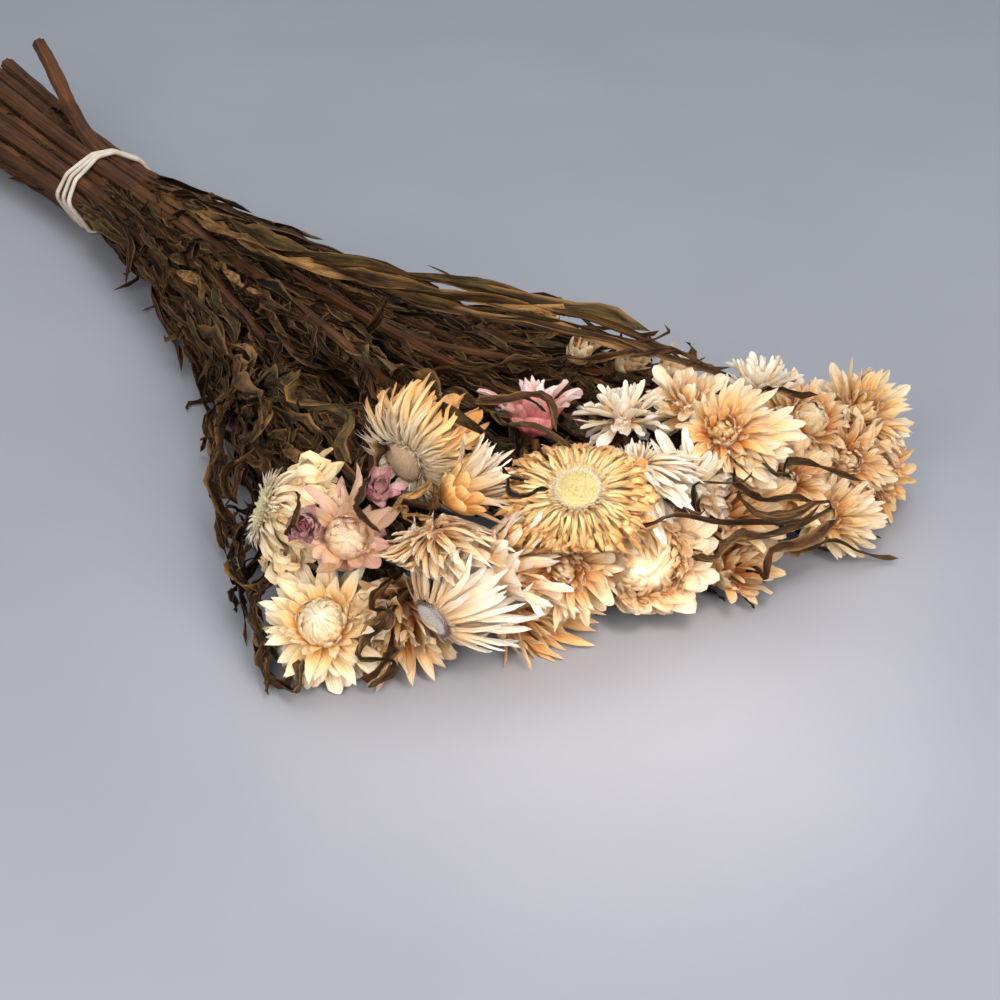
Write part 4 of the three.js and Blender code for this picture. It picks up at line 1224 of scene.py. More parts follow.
def towards(right: float, up: float, near: float) -> Rows:
    """A direction to the right, up and near, as seen from the left front corner of the table."""
    rightwards, upwards, away = np.array([(0.819, -0.574, 0.0), (0.287, 0.41, 0.866), (0.497, 0.709, -0.5)])
    return rightwards * right + upwards * up - away * near


@dataclass(frozen=True)
class Flower:
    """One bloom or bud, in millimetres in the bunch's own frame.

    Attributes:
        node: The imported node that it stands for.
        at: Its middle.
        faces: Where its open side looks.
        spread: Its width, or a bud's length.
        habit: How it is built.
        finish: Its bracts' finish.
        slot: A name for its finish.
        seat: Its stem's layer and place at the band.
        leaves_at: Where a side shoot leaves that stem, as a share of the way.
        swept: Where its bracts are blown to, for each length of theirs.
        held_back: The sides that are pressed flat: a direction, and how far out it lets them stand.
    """

    node: str
    at: Place
    faces: Place
    spread: float
    habit: str
    finish: PaperyBracts
    slot: str
    seat: tuple[int, int]
    leaves_at: Optional[float] = None
    swept: Place = (0, 0, 0)
    held_back: tuple[tuple[Place, float], ...] = ()

    @property
    def face(self) -> Rows:
        """The direction that it faces."""
        return unit(np.array(self.faces, float))

    @property
    def middle(self) -> Rows:
        """Its middle."""
        return np.array(self.at, float)

    def neck(self) -> tuple[Rows, Rows]:
        """Where its stem starts to turn into it, and where it ends in it."""
        end = self.middle + self.face * (HABITS[self.habit].neck * self.spread - CLEARANCE)
        return end - self.face * NECK_LENGTH, end


CLEARANCE = 0.3
NECK_LENGTH = 3.0
BAND_Y = 345.0
STEM_RADIUS, NECK_RADIUS, SHOOT_NECK_RADIUS = 3.6, 1.6, 1.35
STEM_PITCH = 6.6
BAND_ROWS = (4, 5, 6, 5, 2)
FIRST_LAYER_Z = 5.65
LAYER_RISE = STEM_PITCH * math.sin(math.radians(60))
CUT_LENGTH, CUT_SCATTER, CUT_SPREAD = 116.0, 26.0, 1.45
PRESSED = 0.4
NOD = 0.12
BUD_LENGTH = 15.0
TOP_LAYER = 4
LEAFINESS = (1.1, 1.1, 1.15, 1.5, 1.6)
# Painted shade: the palest tone that each layer's leaves may take. Lower layers are darker, as if in the shade deep in
# the mass.
PALEST_UNDER_PAINTED_SHADE = (0.62, 0.62, 0.72, 0.95, 1.0)
FLORETS_TO_A_DISC = 1100
BRACT_SEED, FLORET_SEED, STEM_SEED = 1000, 500, 7000
BOWS = {
    (0, 0): (0, -5), (0, 1): (0, -5), (0, 2): (0, -5), (0, 3): (0, -5), (1, 1): (-6, -8),
    (2, 1): (6, 2), (2, 2): (3, -4), (3, 0): (-2, 1), (3, 1): (-4, 8),
}
STRAY_ENDS = {(4, 1): (18, 14, 14)}

_band_low, _band_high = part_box("elastic_band")
ROW_SHIFT = np.array([
    (_band_low.x + _band_high.x) / 2 / MM,
    (_band_low.y + _band_high.y) / 2 / MM - BAND_Y,
    0.0,
])

FLOWERS = [
    Flower("bloom_01", (-112, -19, 21), (-0.48, -0.42, 0.77), 41, "domed", CREAM, "cream_bracts", (1, 0)),
    Flower("bloom_02", (-108, 20, 43), (-0.76, 0.5, 0.34), 44, "fringed", SHELLS, "cream_bracts", (2, 0)),
    Flower("bloom_03", (-100, -17, 48), (-0.45, -0.75, 0.45), 32, "bud-hearted", PINK, "pink_bracts", (3, 0), None,
           (0, 0.1, 0), (((0, -1, 0), 8.0),)),
    Flower("bloom_04", (-62, 6, 54), (-0.94, -0.27, -0.17), 42, "fanned", FRINGED, "cream_bracts", (4, 0), None,
           (0.1, 0.12, 0)),
    Flower("bloom_05", (-60, -29, 59), (0.8, -0.36, 0.4), 23, "tipped goblet", AMBER, "cream_bracts", (3, 1), 0.78),
    Flower("bloom_06", (-36, -53, 60), (-0.3, -0.35, 0.89), 46, "ruffled", YELLOW, "orange_bracts", (3, 2), None,
           (0, 0, 0), (((0, 1, 0.1), 11.5), ((0, -1, 0), 16.0))),
    Flower("bloom_07", (-84, -44, 27), (-0.94, -0.13, -0.32), 38, "swept", WHITE, "ivory_bracts", (1, 1)),
    Flower("bloom_08", (-55, -47, 39), (0.45, -0.75, 0.39), 30, "goblet", IVORY, "ivory_bracts", (2, 1)),
    Flower("bloom_09", (-77, -32, 50), (-0.16, 0.6, 0.76), 45, "wing", BEIGE, "cream_bracts", (3, 1), None,
           (0, 0, 0), (((0.4, 1, 0), 3.5), ((-0.4, -1, 0), 11.0))),
    Flower("bloom_10", (-8, -54, 25), (-0.4, -0.88, 0.25), 42, "lobed", LOBED, "ivory_bracts", (1, 2), None,
           (0.2, 0.15, 0), (((0, -1, 0), 15.0),)),
    Flower("bloom_11", (27, -57, 14), (0.1, -0.73, 0.66), 24, "goblet", PEACH, "peach_bracts", (0, 2)),
    Flower("bloom_12", (-4, -42, 54), (-0.06, 0.35, 0.84), 36, "umbrella", WHITE, "ivory_bracts", (3, 2), 0.66,
           (0.1, -0.2, 0.2)),
    Flower("bloom_13", (10, -16, 60), (0.1, 0.4, 0.9), 26, "star", WHITE, "ivory_bracts", (4, 1)),
    Flower("bloom_14", (32, -44, 56), (-0.5, -0.4, 0.75), 34, "tousled", GOLDEN, "cream_bracts", (3, 3), None,
           (0.45, -0.05, 0)),
    Flower("bloom_15", (14, -46, 42), (-0.45, -0.8, 0.4), 34, "tousled", WHITE, "ivory_bracts", (2, 3), None,
           (-0.3, 0.1, 0)),
    Flower("bloom_16", (28, -54, 33), (0.04, -0.73, 0.68), 26, "goblet", PEACH, "peach_bracts", (1, 3)),
    Flower("bloom_17", (77, -36, 44), (-0.02, -0.64, 0.77), 34, "domed", PEACH, "peach_bracts", (3, 4)),
    Flower("bloom_18", (70, -16, 52), (0.22, 0.32, 0.92), 30, "star", WHITE, "ivory_bracts", (3, 4), 0.68),
    Flower("bloom_19", (103, -33, 37), (0.07, -0.67, 0.74), 36, "tousled", GOLDEN, "peach_bracts", (2, 5), None,
           (0.2, 0, 0)),
    Flower("bloom_20", (88, -44, 28), (-0.2, -0.85, 0.45), 32, "tousled", PEACH, "peach_bracts", (2, 5), 0.72),
    Flower("bloom_21", (107, -42, 14), (0.19, -0.95, 0.1), 30, "star", ORANGE, "orange_bracts", (1, 4)),
    Flower("bloom_22", (56, -49, 32), (-0.5, -0.5, 0.64), 31, "tousled", PEACH, "peach_bracts", (2, 4)),
    Flower("bloom_23", (72, -54, 15), (-0.5, -0.5, 0.7), 26, "tousled", GOLDEN, "cream_bracts", (0, 3), None,
           (0.6, 0.1, 0)),
    Flower("bloom_24", (-40, -52, 34), (-0.5, -0.8, 0.2), 34, "tousled", PEACH, "peach_bracts", (2, 2)),
    Flower("bloom_25", (-46, -40, 12), (0.2, -0.95, -0.04), 30, "cup", ORANGE, "orange_bracts", (0, 1), None,
           (0.25, 0, 0)),
    Flower("bloom_26", (-90, -27, 16), (-0.6, -0.8, 0.0), 34, "cup", PEACH, "cream_bracts", (0, 0)),
    Flower("bloom_27", (-14, 1, 63), (0.2, 0.3, 0.92), 25, "lily", ROSE, "pink_bracts", (4, 1), 0.74),
    Flower("bloom_28", (36, -20, 57), (0, -0.3, 0.95), 28, "star", BEIGE, "cream_bracts", (3, 3), 0.72),
    Flower("bud_1", (32, 37, 54), (0.1, -0.6, 0.79), BUD_LENGTH, "bud", BEIGE, "cream_bracts", (4, 1), 0.55),
    Flower("bud_2", (43, 22, 53), (0.3, -0.7, 0.64), BUD_LENGTH, "bud", BEIGE, "cream_bracts", (3, 3), 0.58),
    Flower("bud_3", (55, 14, 49), (0.4, -0.7, 0.59), BUD_LENGTH, "bud", BEIGE, "cream_bracts", (3, 4), 0.56),
    Flower("bud_4", (-84, -10, 57), (-0.2, -0.6, 0.77), BUD_LENGTH, "bud", MAUVE, "pink_bracts", (4, 0), 0.72),
    Flower("bud_5", (-115, -16, 57), (-0.5, -0.7, 0.5), BUD_LENGTH, "bud", MAUVE, "pink_bracts", (3, 0), 0.78),
]


@dataclass(frozen=True)
class Drape:
    """A long leaf whose way over the bunch is listed.

    Attributes:
        stem: The stem that it grows on.
        share: How far along that stem its foot is.
        half: Half its width, in millimetres.
        tone: Its shade, from dark, 0, to tan, 1.
        way: The places that it passes.
        roll: How far its sides roll up, in radians.
        tufts: How many small leaves crumple along it.
    """

    stem: int
    share: float
    half: float
    tone: float
    way: tuple[Place, ...]
    roll: float = 3.0
    tufts: int = 0


DRAPED_LEAVES = [
    Drape(14, 0.8, 3.3, 0.3, ((-21, -67, 50), (-11, -68, 50), (0, -70, 48), (16, -74, 41), (35, -80, 38),
          (47, -78, 42))),
    Drape(9, 0.82, 2.9, 0.45, ((18, -73, 46), (34, -79, 42), (47, -78, 42), (53, -75, 36), (35, -75, 33),
          (17, -73, 34), (7, -72, 36))),
    Drape(15, 0.85, 2.3, 0.2, ((18, -67, 52), (31, -70, 44), (39, -71, 42), (46, -75, 41))),
    Drape(15, 0.8, 3.3, 0.55, ((33, -68, 52), (43, -64, 50), (52, -65, 48), (67, -70, 41), (74, -71, 38))),
    Drape(4, 0.8, 3.6, 0.35, ((31, -63, 12), (33, -72, 24), (39, -76, 28), (51, -82, 34))),
    Drape(4, 0.9, 2.5, 0.5, ((41, -65, 22), (53, -66, 17), (75, -68, 8), (84, -70, 4), (89, -74, 2))),
    Drape(13, 0.9, 2.3, 0.15, ((6, -64, 44), (3, -62, 46), (5, -60, 50), (8, -63, 54), (17, -70, 55), (22, -71, 58))),
    Drape(20, 0.8, 2.6, 0.2, ((52, -35, 62), (60, -37, 62), (66, -41, 60), (72, -45, 58))),
    Drape(22, 0.7, 2.1, 0.3, ((29, -1, 70), (42, -10, 70), (45, -16, 67), (48, -19, 66), (51, -24, 66))),
    Drape(19, 0.7, 1.8, 0.4, ((36, -1, 68), (40, -5, 68), (41, -12, 66), (44, -16, 67), (48, -15, 68))),
    Drape(18, 0.97, 1.9, 0.1, ((-55, -41, 68), (-57, -42, 67), (-59, -49, 66), (-58, -54, 66), (-48, -55, 68))),
    Drape(13, 0.85, 1.9, 0.25, ((-5, -59, 50), (-3, -65, 48), (0, -68, 47), (3, -69, 48), (5, -66, 50))),
    Drape(2, 0.9, 3.9, 0.5, ((-49, -29, 8), (-40, -36, 13), (-33, -39, 13), (-25, -41, 12), (-21, -44, 4))),
    Drape(8, 0.92, 3.1, 0.4, ((2, -70, 30), (10, -72, 34), (17, -74, 36), (25, -76, 36))),
    Drape(10, 0.6, 4.5, 0.6, ((-78, 56, 66), (-79, 51, 64), (-71, 37, 62), (-70, 29, 60), (-79, 22, 56),
          (-79, 15, 55)), 2.3, 14),
    Drape(16, 0.65, 4.5, 0.7, ((-83, 40, 60), (-84, 31, 60), (-81, 25, 60), (-86, 7, 58), (-86, -13, 58))),
    Drape(21, 0.72, 5.7, 0.62, ((-46, 19, 70), (-50, 6, 71), (-51, -7, 71), (-46, -24, 69), (-42, -27, 68))),
    Drape(17, 0.9, 2.2, 1, ((-75, -30, 64), (-80, -28, 64), (-88, -27, 61), (-90, -28, 59))),
    Drape(17, 0.95, 2.1, 1, ((-87, -27, 60), (-86, -30, 59), (-84, -34, 58), (-81, -37, 57))),
    Drape(21, 0.9, 3.3, 0.2, ((-97, -20, 62), (-99, -24, 61), (-99, -28, 59), (-98, -33, 56))),
    Drape(22, 0.86, 2.9, 0.3, ((-42, -7, 74), (-39, -11, 76), (-28, -17, 77), (-25, -22, 76), (-26, -30, 68))),
    Drape(21, 0.8, 3.3, 0.25, ((-32, 13, 74), (-32, 1, 76), (-33, -10, 77), (-30, -17, 76), (-27, -25, 74))),
    Drape(22, 0.8, 2.6, 0.5, ((-43, -20, 74), (-39, -27, 74), (-34, -31, 73), (-27, -38, 66))),
    Drape(10, 0.55, 4.8, 0.3, ((-91, 63, 40), (-94, 69, 34), (-95, 73, 26), (-93, 66, 18)), 2.3, 14),
    Drape(10, 0.6, 3.8, 0.2, ((-87, 95, 20), (-96, 72, 12), (-102, 53, 12), (-107, 38, 10)), 2.3, 14),
    Drape(5, 0.7, 5.1, 0.35, ((-112, 38, 24), (-115, 36, 18), (-116, 20, 14), (-115, 14, 20)), 2.3, 14),
    Drape(1, 0.7, 4.5, 0.15, ((-107, 39, 8), (-115, 30, 6), (-124, 3, 7), (-130, -3, 5), (-130, -11, 3)), 2.3, 14),
    Drape(5, 0.8, 5.4, 0.45, ((-118, 8, 22), (-123, 8, 18), (-127, -4, 12), (-127, -13, 16)), 2.3, 14),
    Drape(1, 0.8, 4.2, 0.3, ((-124, -6, 12), (-130, -9, 4), (-129, -16, 3), (-126, -21, 5), (-127, -20, 10)), 2.3, 14),
    Drape(5, 0.9, 3.2, 0.55, ((-125, -27, 10), (-127, -24, 4), (-128, -8, 2), (-126, 2, 3)), 2.3),
    Drape(6, 0.9, 4, 0.35, ((-102, -34, 34), (-100, -39, 32), (-101, -44, 30), (-105, -41, 28)), 2.3),
    Drape(1, 0.93, 3.4, 0.25, ((-100, -42, 22), (-102, -42, 18), (-105, -39, 10), (-108, -35, 6)), 2.3),
    Drape(6, 0.92, 3.6, 0.5, ((-107, -37, 20), (-105, -40, 16), (-101, -43, 13), (-106, -38, 4)), 2.3),
    Drape(10, 0.5, 4.8, 0.4, ((-89, 53, 56), (-91, 63, 46), (-90, 54, 38), (-90, 58, 30)), 2.3, 14),
    Drape(10, 0.35, 4.5, 0.3, ((-70, 112, 44), (-72, 126, 22), (-73, 118, 16), (-75, 118, 10)), 2.3, 14),
    Drape(5, 0.45, 5.1, 0.5, ((-65, 126, 24), (-69, 131, 14), (-72, 121, 10), (-83, 100, 8)), 2.3, 14),
    Drape(19, 0.05, 4.9, 0.97, ((-14, 191, 50), (-10, 138, 57), (4, 91, 63), (23, 61, 63), (34, 28, 61),
          (45, 10, 59)), 1.7, 5),
    Drape(22, 0.2, 3.8, 0.6, ((-12, 194, 56), (-7, 142, 61), (8, 103, 65), (25, 63, 67), (41, 37, 67),
          (49, 17, 63)), 1.7, 5),
    Drape(19, 0.2, 3.5, 0.4, ((-9, 161, 57), (4, 111, 63), (19, 81, 65), (33, 50, 65), (42, 27, 63),
          (47, 9, 61)), 1.7, 5),
    Drape(22, 0.3, 3.8, 0.75, ((-10, 117, 63), (5, 86, 65), (24, 56, 65), (40, 30, 65), (52, -1, 61)), 1.7, 5),
    Drape(20, 0.2, 3.5, 0.3, ((-1, 90, 61), (17, 53, 63), (34, 28, 63), (46, -2, 61), (59, -17, 58)), 1.7, 5),
    Drape(20, 0.3, 3.2, 0.55, ((-6, 109, 61), (9, 72, 63), (30, 46, 63), (41, 14, 63), (54, 14, 65),
          (54, 19, 65)), 1.7, 5),
    Drape(22, 0.1, 3.5, 0.2, ((-3, 242, 48), (-2, 195, 56), (0, 154, 59), (1, 120, 63)), 1.7, 5),
    Drape(22, 0.3, 3.2, 0.93, ((-8, 141, 57), (6, 93, 63), (21, 59, 65), (37, 44, 65), (49, 35, 65)), 1.7, 5),
]


# ---- The pieces ----


@dataclass
class Workshop:
    """The moulds and materials that all the pieces share."""

    blades: dict[Blank, Mould] = field(default_factory=dict)
    materials: dict[str, bpy.types.Material] = field(default_factory=dict)

    def __post_init__(self) -> None:
        """Models every mould."""
        for blank in Blank:
            columns = 2 if blank in (Blank.NEEDLE, Blank.LEAF) else 4
            self.blades[blank] = Bench.blade(columns, blank.value)
        self.bead = Bench.bead(14, 10)
        self.spike = Bench.spike()
        self.stem = Bench.rod(ribs=8, rows=64, groove=0.13, hollow=0.42)
        self.shoot = Bench.rod(ribs=6, rows=24, groove=0.12)
        self.strand = Bench.ring(112, 10)

    def dress(self, finish: object) -> bpy.types.Material:
        """The material of a finish, made once."""
        if finish.name not in self.materials:
            self.materials[finish.name] = finish.make()
        return self.materials[finish.name]


@dataclass
class Bloom:
    """One bloom or bud with its papery bracts, and its cushion of florets where that shows.

    Attributes:
        seed: What makes it differ from the others.
        papery: A bract's thickness in millimetres.
    """

    flower: Flower
    shop: Workshop
    seed: int
    papery: float = 0.13

    def build(self) -> None:
        """Builds the bloom, and its cushion of florets as a piece of its own."""
        habit = HABITS[self.flower.habit]
        sheaf = Sheaf()
        back, front, radius = (share * self.flower.spread for share in habit.core)
        self._bead(sheaf, (back, front), radius, 0.4, 0.7)
        turn = 0.0
        for order, whorl in enumerate(habit.whorls):
            turn = self._whorl(sheaf, whorl, order, turn)
        node = self.flower.node
        sheaf.tie(f"{node}_bracts", node, self.flower.slot, [self.shop.dress(self.flower.finish)])
        if habit.disc:
            self._florets(habit.disc)

    def _axes(self) -> tuple[Rows, Rows, Rows]:
        """Its facing direction, and two directions across it."""
        face = self.flower.face
        across = unit(np.cross([1.0, 0, 0] if abs(face[2]) > 0.9 else [0, 0, 1.0], face))
        return face, across, np.cross(face, across)

    def _bead(self, sheaf: Sheaf, ends: Pair, radius: float, tone: float, heart: float) -> None:
        """Adds a solid bead on its axis, from one place along it to another, with its shade and its nearness."""
        face, across, over = self._axes()
        line = self.flower.middle + face * np.linspace(*ends, 9)[:, None]
        course = Course(line[None], np.tile(across, (1, 9, 1)), np.tile(over, (1, 9, 1)))
        sheaf.add_round(self.shop.bead, course, np.full((1, 9), radius), tone, heart)

    def _whorl(self, sheaf: Sheaf, whorl: Whorl, order: int, turn: float) -> float:
        """Adds one band of bracts.

        Args:
            sheaf: What they are added to.
            whorl: The band.
            order: Which band it is.
            turn: How far round the first bract stands.

        Returns:
            How far round the next band starts.
        """
        rng = np.random.default_rng(BRACT_SEED * self.seed + order)
        face, across, over = self._axes()
        many, spread = whorl.count, self.flower.spread
        inward = np.linspace(0, 1, many)

        def between(pair: Pair) -> Rows:
            """From the outermost bract's value to the innermost's."""
            return pair[0] + (pair[1] - pair[0]) * inward

        def uneven(scale: float) -> Rows:
            """A little of chance for each bract."""
            return scale * whorl.loose * rng.normal(size=many)

        turns = turn + GOLDEN_TURN * np.arange(many) + uneven(0.07)
        out = across * np.cos(turns)[:, None] + over * np.sin(turns)[:, None]
        flank = np.cross(out, face)
        root = self.flower.middle + spread * (
            face * between(whorl.along)[:, None] + out * (between(whorl.radius) * (1 + uneven(0.02)))[:, None]
        )
        stations = np.linspace(0, 1, 13)
        lean = (between(whorl.lean) + uneven(5))[:, None]
        lift = np.radians(lean + (between(whorl.curl) + uneven(9))[:, None] * stations)
        winding = whorl.wavy * rng.normal(size=(many, 1)) * np.sin(7 * stations + rng.uniform(0, 6.3, (many, 1)))
        swing = uneven(0.09)[:, None] * stations + winding
        twist = uneven(0.16)[:, None] * stations
        length = spread * between(whorl.length) * (1 + np.clip(uneven(0.08), -0.36, 0.26))
        course = Course.bent(root, (np.tile(face, (many, 1)), out, flank), length, lift, swing, twist)
        blown = (1 - between(whorl.heart))[:, None, None] * towards(*self.flower.swept)
        course.line = course.line + (length[:, None] * stations**1.6)[..., None] * blown
        half = np.tile((spread * between(whorl.width) / 2 * (1 + uneven(0.05)))[:, None], (1, 13))
        roll = np.clip(whorl.roll * (1 + uneven(0.18)), 0.3, 2.2)
        mould = self.shop.blades[whorl.blank]
        copies = mould.lay(
            course, half, np.full((many, 13), self.papery), roll, np.abs(uneven(0.1)), rng.uniform(0, 6.3, many)
        )
        sheaf.add(mould, self._held_back(copies), rng.random(many), between(whorl.heart))
        return turn + GOLDEN_TURN * many

    def _held_back(self, points: Rows) -> Rows:
        """Presses the sides flat that something holds back, until they stand out by a few millimetres at most."""
        give = 3.5
        for side, limit in self.flower.held_back:
            way = unit(towards(*side))
            over = (points - self.flower.middle) @ way - limit
            back = np.where(over > 0, give * (1 - np.exp(-np.maximum(over, 0) / give)) - over, 0)
            points = points + back[..., None] * way
        return points

    def _florets(self, disc: Disc) -> None:
        """Adds the cushion: a low bead covered in florets, with a ring of longer ones."""
        rng = np.random.default_rng(FLORET_SEED + self.seed)
        face, across, over = self._axes()
        spread, many = self.flower.spread, FLORETS_TO_A_DISC
        name = f"disc_{self.flower.node[-2:]}"
        sheaf = Sheaf()
        ends = ((disc.along - 0.02) * spread, (disc.along + disc.rise) * spread)
        self._bead(sheaf, ends, disc.radius * spread, 0.3, 0.6)
        share = np.sqrt((np.arange(many) + 0.5) / many)
        turns = GOLDEN_TURN * np.arange(many)
        out = across * np.cos(turns)[:, None] + over * np.sin(turns)[:, None]
        dome = disc.along + disc.rise * (0.1 + 0.7 * np.sqrt(np.clip(1 - share**2, 0, 1)))
        root = self.flower.middle + spread * (face * dome[:, None] + out * (disc.radius * share)[:, None])
        lean = np.radians(70 * share**3 + rng.normal(0, 9, many))
        steps = np.tile(lean[:, None], (1, 3))
        length = (0.9 + 0.5 * share**6) * (0.8 + 0.4 * rng.random(many)) * spread / 42
        axes = (np.tile(face, (many, 1)), out, np.cross(out, face))
        course = Course.bent(root, axes, length, steps, 0 * steps, 0 * steps)
        wide = np.full((many, 3), 0.17 * spread / 42)
        sheaf.add_round(self.shop.spike, course, wide, rng.random(many), 1 - share)
        sheaf.tie(f"{name}_florets", name, "florets", [self.shop.dress(FLORETS[int(name[-2:])])])


@dataclass
class LeafyStem:
    """A stem from its cut end to its bloom, with its side shoots and its shrivelled leaves.

    Attributes:
        flower: The bloom at its end.
        shoots: The blooms on its side shoots.
        blooms: All the blooms, which its leaves keep off.
        leaves: How many leaves it bears.
    """

    number: int
    flower: Flower
    shoots: list[Flower]
    shop: Workshop
    blooms: Sequence[Flower]
    leaves: int = 62

    def __post_init__(self) -> None:
        """Finds its seat at the band, and starts its piece and its chances."""
        self.layer, index = self.flower.seat
        across = (index - (BAND_ROWS[self.layer] - 1) / 2) * STEM_PITCH
        self.seat = np.array([across, BAND_Y, FIRST_LAYER_Z + self.layer * LAYER_RISE])
        self.sheaf = Sheaf()
        self.rng = np.random.default_rng(STEM_SEED + self.number)

    @staticmethod
    def _arrival(start: Rows, end: Rows, flower: Flower) -> Rows:
        """Its heading where it reaches a bloom, as long as its pull."""
        run = float(np.linalg.norm(end - start))
        return unit(unit(end - start) + flower.face * NOD) * 0.8 * run

    def curve(self, t: Rows) -> Rows:
        """Points from the band, 0, to the bloom's neck, 1."""
        end, _ = self.flower.neck()
        run = float(np.linalg.norm(end - self.seat))
        bow_x, bow_z = BOWS.get(self.flower.seat, (0, 0))
        bow = np.array([bow_x, 0, bow_z], float) * (np.sin(np.pi * np.asarray(t, float)) ** 2)[..., None]
        return cubic(self.seat, np.array([0, -run, 0.0]), end, self._arrival(self.seat, end, self.flower), t) + bow

    def cut(self, t: Rows) -> Rows:
        """Points from the band, 0, to the cut end, 1."""
        shorter, aside, up = STRAY_ENDS.get(self.flower.seat, (0, 0, 0))
        length = CUT_LENGTH + CUT_SCATTER * draw(self.number) - shorter
        rise = (self.seat[2] - FIRST_LAYER_Z) * CUT_SPREAD + STEM_RADIUS - PRESSED
        end = np.array([self.seat[0] * CUT_SPREAD + aside, BAND_Y + length, rise + up])
        return cubic(self.seat, np.array([0, length, 0.0]), end, end - self.seat, t)

    @staticmethod
    def radius(t: Rows) -> Rows:
        """The stem's radius between the band and the bloom."""
        return STEM_RADIUS + (NECK_RADIUS - STEM_RADIUS) * np.clip(t, 0, 1) ** 0.8

    def build(self) -> None:
        """Builds the stem."""
        self._rod()
        lines = [(self.curve, self.radius, (0.02, 0.985), round(self.leaves * LEAFINESS[self.layer]))]
        lines += [(*self._shoot(flower), (0.15, 0.92), 9) for flower in self.shoots]
        for line in lines:
            self._leaves(*line)
        if self.flower.seat[1] == 0:
            self._leaves(self.curve, self.radius, (0.45, 0.98), 30, 0.9)
        self._leaves(self.cut, lambda t: np.full(np.shape(t), STEM_RADIUS), (0.06, 0.62), 8, 0.34)
        for leaf in DRAPED_LEAVES:
            if leaf.stem == self.number:
                way = self._draped(leaf)
                if leaf.tufts:
                    self._leaves(way, lambda t: np.full(np.shape(t), 0.5), (0.1, 0.88), leaf.tufts, 0.38)
        name = f"leafy_stem_{self.number:02d}"
        finishes = [self.shop.dress(finish) for finish in (BARK, LEAVES, CutPith())]
        self.sheaf.tie(f"{name}_dried", name, "foliage", finishes)

    def _rod(self) -> None:
        """Adds the stem itself."""
        _, end = self.flower.neck()
        behind = self.cut(np.linspace(1, 0, 20)[:-1])
        shares = np.linspace(0, 1, 45)
        line = np.concatenate([behind, self.curve(shares), end[None]])
        radius = np.concatenate([np.full(19, STEM_RADIUS), self.radius(shares), [NECK_RADIUS]])
        waver = np.cumsum(self.rng.normal(0, 0.16, (len(line), 3)), axis=0)
        fade = np.sin(np.pi * np.linspace(0, 1, len(line)))[:, None]
        line = line + (waver - waver.mean(axis=0)) * fade * 0.6
        radius = radius * (1 + 0.05 * self.rng.normal(size=len(line)))
        self.sheaf.add_round(self.shop.stem, Course.through(line), radius[None], self.rng.random(1), 0.0)

    def _shoot(self, flower: Flower) -> tuple[Callable, Callable]:
        """Adds a side shoot.

        Args:
            flower: The bloom that it carries.

        Returns:
            Its line and its radius, as functions of the share of the way.
        """
        bend, end = flower.neck()
        start = self.curve(np.array(flower.leaves_at))
        ahead = unit(self.curve(np.array(flower.leaves_at + 0.02)) - start)
        run = float(np.linalg.norm(bend - start))
        foot = 0.75 * float(self.radius(np.array(flower.leaves_at)))
        arrive = self._arrival(start, bend, flower)

        def curve(t: Rows) -> Rows:
            """Points along the shoot."""
            return cubic(start, ahead * run, bend, arrive, t)

        def radius(t: Rows) -> Rows:
            """The shoot's radius."""
            return foot + (SHOOT_NECK_RADIUS - foot) * np.asarray(t, float)

        shares = np.linspace(0, 1, 24)
        course = Course.through(np.concatenate([curve(shares), end[None]]))
        radii = np.concatenate([radius(shares), [SHOOT_NECK_RADIUS]])
        self.sheaf.add_round(self.shop.shoot, course, radii[None], self.rng.random(1), 0.0)
        return curve, radius

    def _leaves(self, curve: Callable, radius: Callable, span: Pair, many: int, size: float = 1.0) -> None:
        """Adds the leaves of one line.

        Args:
            curve: The line that they grow on.
            radius: Its radius.
            span: The part of the line that bears leaves.
            many: How many leaves.
            size: How large they are, as a share of the others.
        """
        rng = self.rng
        share = span[0] + (span[1] - span[0]) * (np.arange(many) + rng.random(many)) / many
        root = curve(share)
        ahead = unit(curve(share + 0.01) - curve(share - 0.01))
        level = unit(np.cross(ahead, [0, 0, 1.0]))
        above = np.cross(level, ahead)
        turn = GOLDEN_TURN * np.arange(many) + rng.normal(0, 0.3, many)
        rise = np.sin(turn)
        if self.layer == TOP_LAYER:
            rise = np.where(rise > 0.3, -0.4 * rise, rise)
        out = unit(level * np.cos(turn)[:, None] + above * rise[:, None])
        flank = np.cross(out, ahead)
        root = root + out * (radius(share) * 0.6)[:, None]
        stations = np.linspace(0, 1, 27)
        length = size * rng.uniform(38, 92, many) * np.interp(share, [0.55, 1], [1, 0.4])
        flare, settle = rng.uniform(0.15, 0.65, many), rng.uniform(1.0, 2.6, many)
        flare *= 0.8 + 0.1 * self.layer
        lift = flare[:, None] * ((1 - stations) ** settle[:, None] * 1.3 - 0.3)
        lift = lift + self._wave(many, stations, 0.18) + self._hook(many, stations)
        lift = lift + self._wave(many, stations, 0.16, 5.0)
        swing = self._wave(many, stations, 0.22) + self._hook(many, stations)
        swing = swing + self._wave(many, stations, 0.16, 5.0)
        twist = rng.normal(0, 1.8, many)[:, None] * stations + self._wave(many, stations, 0.8)
        length = self._clear_of_blooms(root, (ahead, out, flank), length, lift, swing, twist)
        kept = length > 14 * size
        course = Course.bent(
            root[kept], (ahead[kept], out[kept], flank[kept]), length[kept], lift[kept], swing[kept], twist[kept]
        )
        course.line = tucked(course.line)
        half = size**0.6 * (1.8 + 2.8 * rng.random(many) ** 1.6)[kept]
        roll = rng.uniform(1.2, 3.1, many)[kept]
        wide = half[:, None] * (1 + 0.3 * self._wave(int(kept.sum()), stations, 1.0, 5.0))
        ruffle, phase = rng.uniform(0.1, 0.55, many)[kept], rng.uniform(0, 6.3, many)[kept]
        mould = self.shop.blades[Blank.LEAF]
        copies = mould.lay(course, wide, np.full(wide.shape, 0.42), roll, ruffle, phase)
